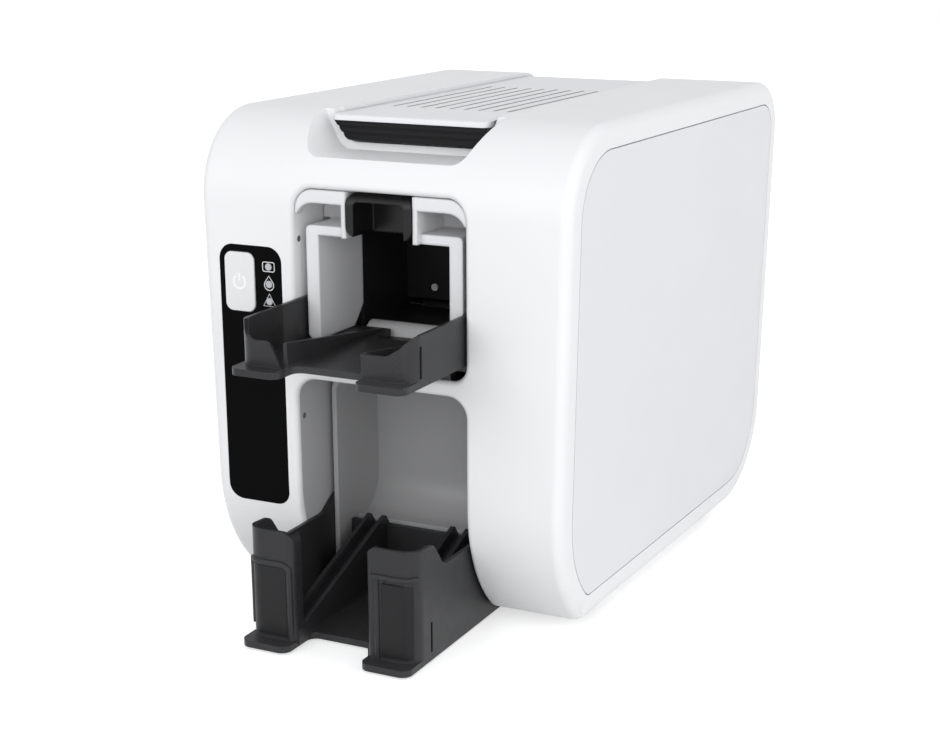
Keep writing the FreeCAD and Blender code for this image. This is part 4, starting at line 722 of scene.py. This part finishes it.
# Name, place, target and size in metres, and power in watts of each lamp
LAMPS = (
    ("key", (-0.45, -1.5, 0.8), (0.0, -0.05, 0.1), (1.2, 1.0), 8.5),
    ("front_right", (0.95, -1.35, 0.45), (0.0, -0.08, 0.1), (0.8, 0.8), 5.5),
    ("right", (1.5, -0.2, 0.5), (0.0, 0.0, 0.1), (1.0, 1.0), 6.2),
    ("top", (0.0, 0.2, 1.6), (0.0, 0.0, 0.1), (1.4, 1.4), 1.1),
)


def seen_rays(tree):
    """1 for rays of the camera, of gloss and through glass, which show the white background."""
    path = tree.nodes.new("ShaderNodeLightPath")
    total = path.outputs["Is Camera Ray"]
    for kind in ("Is Glossy Ray", "Is Transmission Ray"):
        add = tree.nodes.new("ShaderNodeMath")
        add.operation = "ADD"
        add.use_clamp = True
        tree.links.new(total, add.inputs[0])
        tree.links.new(path.outputs[kind], add.inputs[1])
        total = add.outputs[0]
    return total


def make_floor():
    """White floor that glows a little where it is seen, and keeps the shadow."""
    work = bmesh.new()
    signs = ((-1, -1), (1, -1), (1, 1), (-1, 1))
    work.faces.new([work.verts.new((x * FLOOR_HALF, y * FLOOR_HALF, 0.0)) for x, y in signs])
    floor = linked("floor", work)
    material = bpy.data.materials.new("floor_white")
    material.use_nodes = True
    tree = material.node_tree
    bsdf = tree.nodes["Principled BSDF"]
    bsdf.inputs["Base Color"].default_value = FLOOR_COLOUR
    bsdf.inputs["Roughness"].default_value = FLOOR_ROUGHNESS
    output = tree.nodes["Material Output"]
    glow = tree.nodes.new("ShaderNodeEmission")
    glow.inputs["Strength"].default_value = FLOOR_GLOW
    add = tree.nodes.new("ShaderNodeAddShader")
    switch = tree.nodes.new("ShaderNodeMixShader")
    unseen = tree.nodes.new("ShaderNodeBsdfDiffuse")
    unseen.inputs["Color"].default_value = UNSEEN_FLOOR_COLOUR
    tree.links.new(bsdf.outputs[0], add.inputs[0])
    tree.links.new(glow.outputs[0], add.inputs[1])
    tree.links.new(seen_rays(tree), switch.inputs[0])
    tree.links.new(unseen.outputs[0], switch.inputs[1])
    tree.links.new(add.outputs[0], switch.inputs[2])
    tree.links.new(switch.outputs[0], output.inputs["Surface"])
    floor.data.materials.append(material)


def make_world():
    """Soft light from all round, in front of a white background."""
    world = bpy.data.worlds.new("studio")
    scene.world = world
    world.use_nodes = True
    tree = world.node_tree
    background = tree.nodes["Background"]
    background.inputs["Color"].default_value = SKY_COLOUR
    background.inputs["Strength"].default_value = SKY_STRENGTH
    seen = tree.nodes.new("ShaderNodeBackground")
    seen.inputs["Color"].default_value = WHITE
    seen.inputs["Strength"].default_value = 1.0
    mix = tree.nodes.new("ShaderNodeMixShader")
    tree.links.new(seen_rays(tree), mix.inputs[0])
    tree.links.new(background.outputs[0], mix.inputs[1])
    tree.links.new(seen.outputs[0], mix.inputs[2])
    tree.links.new(mix.outputs[0], tree.nodes["World Output"].inputs["Surface"])


def area_light(name, place, target, size, power):
    """Rectangular lamp that looks at a target."""
    data = bpy.data.lights.new(name, "AREA")
    data.shape = "RECTANGLE"
    data.size, data.size_y = size
    data.energy = power
    lamp = bpy.data.objects.new(name, data)
    scene.collection.objects.link(lamp)
    lamp.location = place
    lamp.rotation_euler = (Vector(target) - Vector(place)).to_track_quat("-Z", "Y").to_euler()


make_floor()
make_world()
for lamp_row in LAMPS:
    area_light(*lamp_row)
scene.view_settings.view_transform = "Standard"
